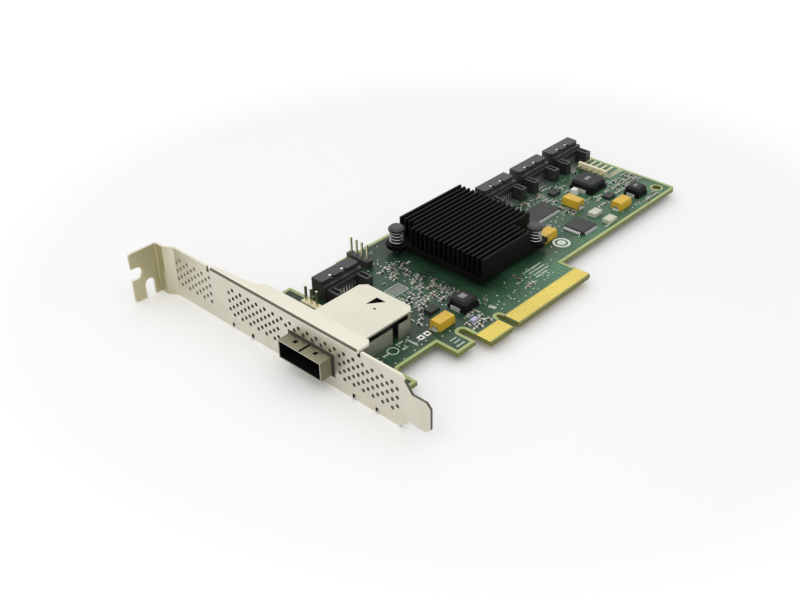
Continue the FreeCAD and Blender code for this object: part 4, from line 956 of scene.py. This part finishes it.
for block in tinned["blocks"]:
    layBlock(pads, *block, tinned["blockThick"])
dressMesh(pads, "bare_pads", extras["solder"])
footprint = bmesh.new()
layBlock(footprint, *blank["place"], *blank["size"], blank["thick"])
dressMesh(footprint, "blank_footprint", extras["greyPad"])
body = bmesh.new()
layBlock(body, *lavender["place"], *lavender["size"], lavender["tall"])
dressMesh(body, "lavender_part", extras["lavender"])

# Capacitors: tinned end plates in the arches, and pads that stand out past the ends
endPlate = {"thick": 0.3, "wide": 2.2, "tall": 1.3, "in": 0.2}
endPad = {"out": 0.75, "long": 1.9, "wide": 2.7, "thick": 0.05}
print("capacitor ends")
plates = bmesh.new()
for index in range(1, 5):
    low, high = cardBox(f"capacitor_{index}")
    middle = (low + high) / 2
    along = high.x - low.x > high.y - low.y
    half = max(high.x - low.x, high.y - low.y) / 2
    blocks = ((half - endPlate["in"], endPlate["thick"], endPlate["wide"], endPlate["tall"]),
              (half + endPad["out"] - endPad["long"] / 2, endPad["long"], endPad["wide"], endPad["thick"]))
    for side in (-1, 1):
        for reach, long, wide, tall in blocks:
            if along:
                layBlock(plates, middle.x + side * reach, middle.y, long, wide, tall)
            else:
                layBlock(plates, middle.x, middle.y + side * reach, wide, long, tall)
dressMesh(plates, "capacitor_ends", extras["solder"])

# Inductors: tinned ends under the body and a plain mark on top, as shares of the body's width and depth
coilEnds = {"out": 0.48, "wide": 0.16, "deep": 0.5, "tall": 1.3}
coilMarks = {"up": 0.05, "thick": 0.02, "shares": {
    "inductor_1": (0.3, 0.14), "inductor_2": (0.34, 0.3), "inductor_3": (0.34, 0.2)}}
print("inductors")
ends = bmesh.new()
tops = bmesh.new()
for name, (wideShare, deepShare) in coilMarks["shares"].items():
    low, high = cardBox(name)
    middle = (low + high) / 2
    wide = high.x - low.x
    deep = high.y - low.y
    for side in (-1, 1):
        layBlock(ends, middle.x + side * wide * coilEnds["out"], middle.y, wide * coilEnds["wide"],
                 deep * coilEnds["deep"], coilEnds["tall"])
    addBlock(tops, middle.x, middle.y + deep * coilMarks["up"], wide * wideShare, deep * deepShare,
             high.z, high.z + coilMarks["thick"])
dressMesh(ends, "inductor_ends", extras["tinnedEnds"])
dressMesh(tops, "inductor_marks", extras["greyMark"])

# Port: painted shade as black sheets inside the mouth, and a pale rim round its front edge as a painted
# highlight
nose = {"near": 23.9, "far": 42.1, "low": 2.1, "high": 8.6}
mouth = {"wall": 0.5, "deep": 5.6, "thick": 0.06, "start": 0.12}
rim = {"wide": 0.3, "thick": 0.04}
print("port mouth")
low, high = cardBox("port_cage")
mouthShade = bmesh.new()
front = low.x + mouth["start"]
back = front + mouth["deep"]
near = nose["near"] + mouth["wall"]
far = nose["far"] - mouth["wall"]
under = nose["low"] + mouth["wall"]
over = nose["high"] - mouth["wall"]
middleX = (front + back) / 2
middleY = (near + far) / 2
thick = mouth["thick"]
for y in (near + thick / 2, far - thick / 2):
    addBlock(mouthShade, middleX, y, back - front, thick, under, over)
for z in (under, over - thick):
    addBlock(mouthShade, middleX, middleY, back - front, far - near - 2 * thick, z, z + thick)
addBlock(mouthShade, back, middleY, thick, far - near - 2 * thick, under, over)
dressMesh(mouthShade, "port_mouth_shade", extras["paintedMouthShade"])
# painted highlight along the lit front edge of the mouth
rimMesh = bmesh.new()
rimX = low.x - rim["thick"] / 2
for y in (nose["near"] + rim["wide"] / 2, nose["far"] - rim["wide"] / 2):
    addBlock(rimMesh, rimX, y, rim["thick"], rim["wide"], nose["low"], nose["high"])
for z in (nose["low"], nose["high"] - rim["wide"]):
    addBlock(rimMesh, rimX, middleY, rim["thick"], nose["far"] - nose["near"] - 2 * rim["wide"],
             z, z + rim["wide"])
dressMesh(rimMesh, "port_rim_highlight", extras["rimHighlight"])

# Bracket: a painted shadow, a dark strip in the fold of its long flange, from one angle of the bend to
# another
fold = {"round": 1.11, "ends": (13.7, 79.3), "from": 18, "to": 62, "steps": 6, "proud": 0.02, "deep": 0.05}
print("bracket fold")
foldMesh = bmesh.new()
low, high = cardBox("bracket")
steps = fold["steps"]
turns = [math.radians(fold["from"] + (fold["to"] - fold["from"]) * step / steps)
         for step in range(steps + 1)]
profile = []
for radius, way in ((fold["round"] + fold["proud"], 1), (fold["round"] - fold["deep"], -1)):
    profile += [(fold["round"] - radius * math.cos(turn), high.z - fold["round"] + radius * math.sin(turn))
                for turn in turns[::way]]
count = len(profile)
ends = [[foldMesh.verts.new(at(x, y, z)) for x, z in profile] for y in fold["ends"]]
for i in range(count):
    after = (i + 1) % count
    foldMesh.faces.new((ends[0][i], ends[0][after], ends[1][after], ends[1][i]))
for i in range(steps):
    for end in ends:
        foldMesh.faces.new((end[i], end[i + 1], end[count - 2 - i], end[count - 1 - i]))
dressMesh(foldMesh, "fold_shadow_strip", extras["foldShadow"])

# Camera, lamps, sky and floor
camera = {"place": (-166.93, -163.09, 193.99), "azimuth": -46.31, "elevation": 33.63, "roll": -1.09,
          "lens": 48.37, "sensor": 36.0, "nearest": 0.01}
print("camera and light")
cameraData = bpy.data.cameras.new("camera")
cameraData.lens = camera["lens"]
cameraData.sensor_width = camera["sensor"]
cameraData.clip_start = camera["nearest"]
cameraObject = addObject("camera", cameraData)
turn = (Matrix.Rotation(math.radians(camera["azimuth"]), 3, "Z")
        @ Matrix.Rotation(math.radians(90 - camera["elevation"]), 3, "X")
        @ Matrix.Rotation(math.radians(camera["roll"]), 3, "Z"))
cameraObject.location = at(*camera["place"])
cameraObject.rotation_euler = turn.to_euler()
bpy.context.scene.camera = cameraObject
bpy.context.scene.view_settings.view_transform = "Standard"

lamps = {      # places in card mm, sizes in metres, power in watts
    "overhead": {"place": (80, 90, 520), "aim": (70, 40, 0), "size": 1.5, "power": 4.6},
    "front": {"place": (-330, -160, 300), "aim": (40, 30, 0), "size": 0.5, "power": 0.5},
}
for name, lamp in lamps.items():
    light = bpy.data.lights.new(name, "AREA")
    light.size = lamp["size"]
    light.energy = lamp["power"]
    lightObject = addObject(name, light)
    lightObject.location = at(*lamp["place"])
    aim = at(*lamp["aim"]) - lightObject.location
    lightObject.rotation_euler = aim.to_track_quat("-Z", "Y").to_euler()


def seenDirectly(tree):
    # 1 where the camera, a mirror or glass looks, 0 for the light that falls on things
    path = tree.nodes.new("ShaderNodeLightPath")
    rays = ("Is Camera Ray", "Is Glossy Ray", "Is Transmission Ray")
    return combined(tree, "MAXIMUM", [path.outputs[ray] for ray in rays])


# The sky is plain white, brighter where it is seen than in the light that it gives
skyLevel = {"light": 0.5, "seen": 1.0}
world = bpy.data.worlds.new("studio")
bpy.context.scene.world = world
world.use_nodes = True
sky = world.node_tree
background = sky.nodes["Background"]
background.inputs["Color"].default_value = (1, 1, 1, 1)
sky.links.new(addRange(sky, seenDirectly(sky), skyLevel["light"], skyLevel["seen"]),
              background.inputs["Strength"])

# The floor is paper that glows a little where it is seen, more so away from the card (metres)
floorLook = {"colour": (0.86, 0.86, 0.86), "roughness": 0.8, "size": 6.0, "glow": 0.04, "farGlow": 0.6,
             "near": 0.14, "far": 0.4}
bpy.ops.mesh.primitive_plane_add(size=floorLook["size"], location=(0, 0, cadBox[0][2]))
floor = bpy.context.object
floor.name = "floor"
floorMaterial, floorTree, floorShader, floorCoords = startMaterial(
    "floorPaper", floorLook["colour"], floorLook["roughness"])
floorShader.inputs["Emission Color"].default_value = (1, 1, 1, 1)
distance = floorTree.nodes.new("ShaderNodeVectorMath")
distance.operation = "LENGTH"
floorTree.links.new(floorCoords.outputs["Object"], distance.inputs[0])
glow = addRange(floorTree, distance.outputs["Value"], floorLook["glow"], floorLook["farGlow"],
                floorLook["near"], floorLook["far"])
floorTree.links.new(combined(floorTree, "MULTIPLY", [glow, seenDirectly(floorTree)]),
                    floorShader.inputs["Emission Strength"])
floor.data.materials.append(floorMaterial)
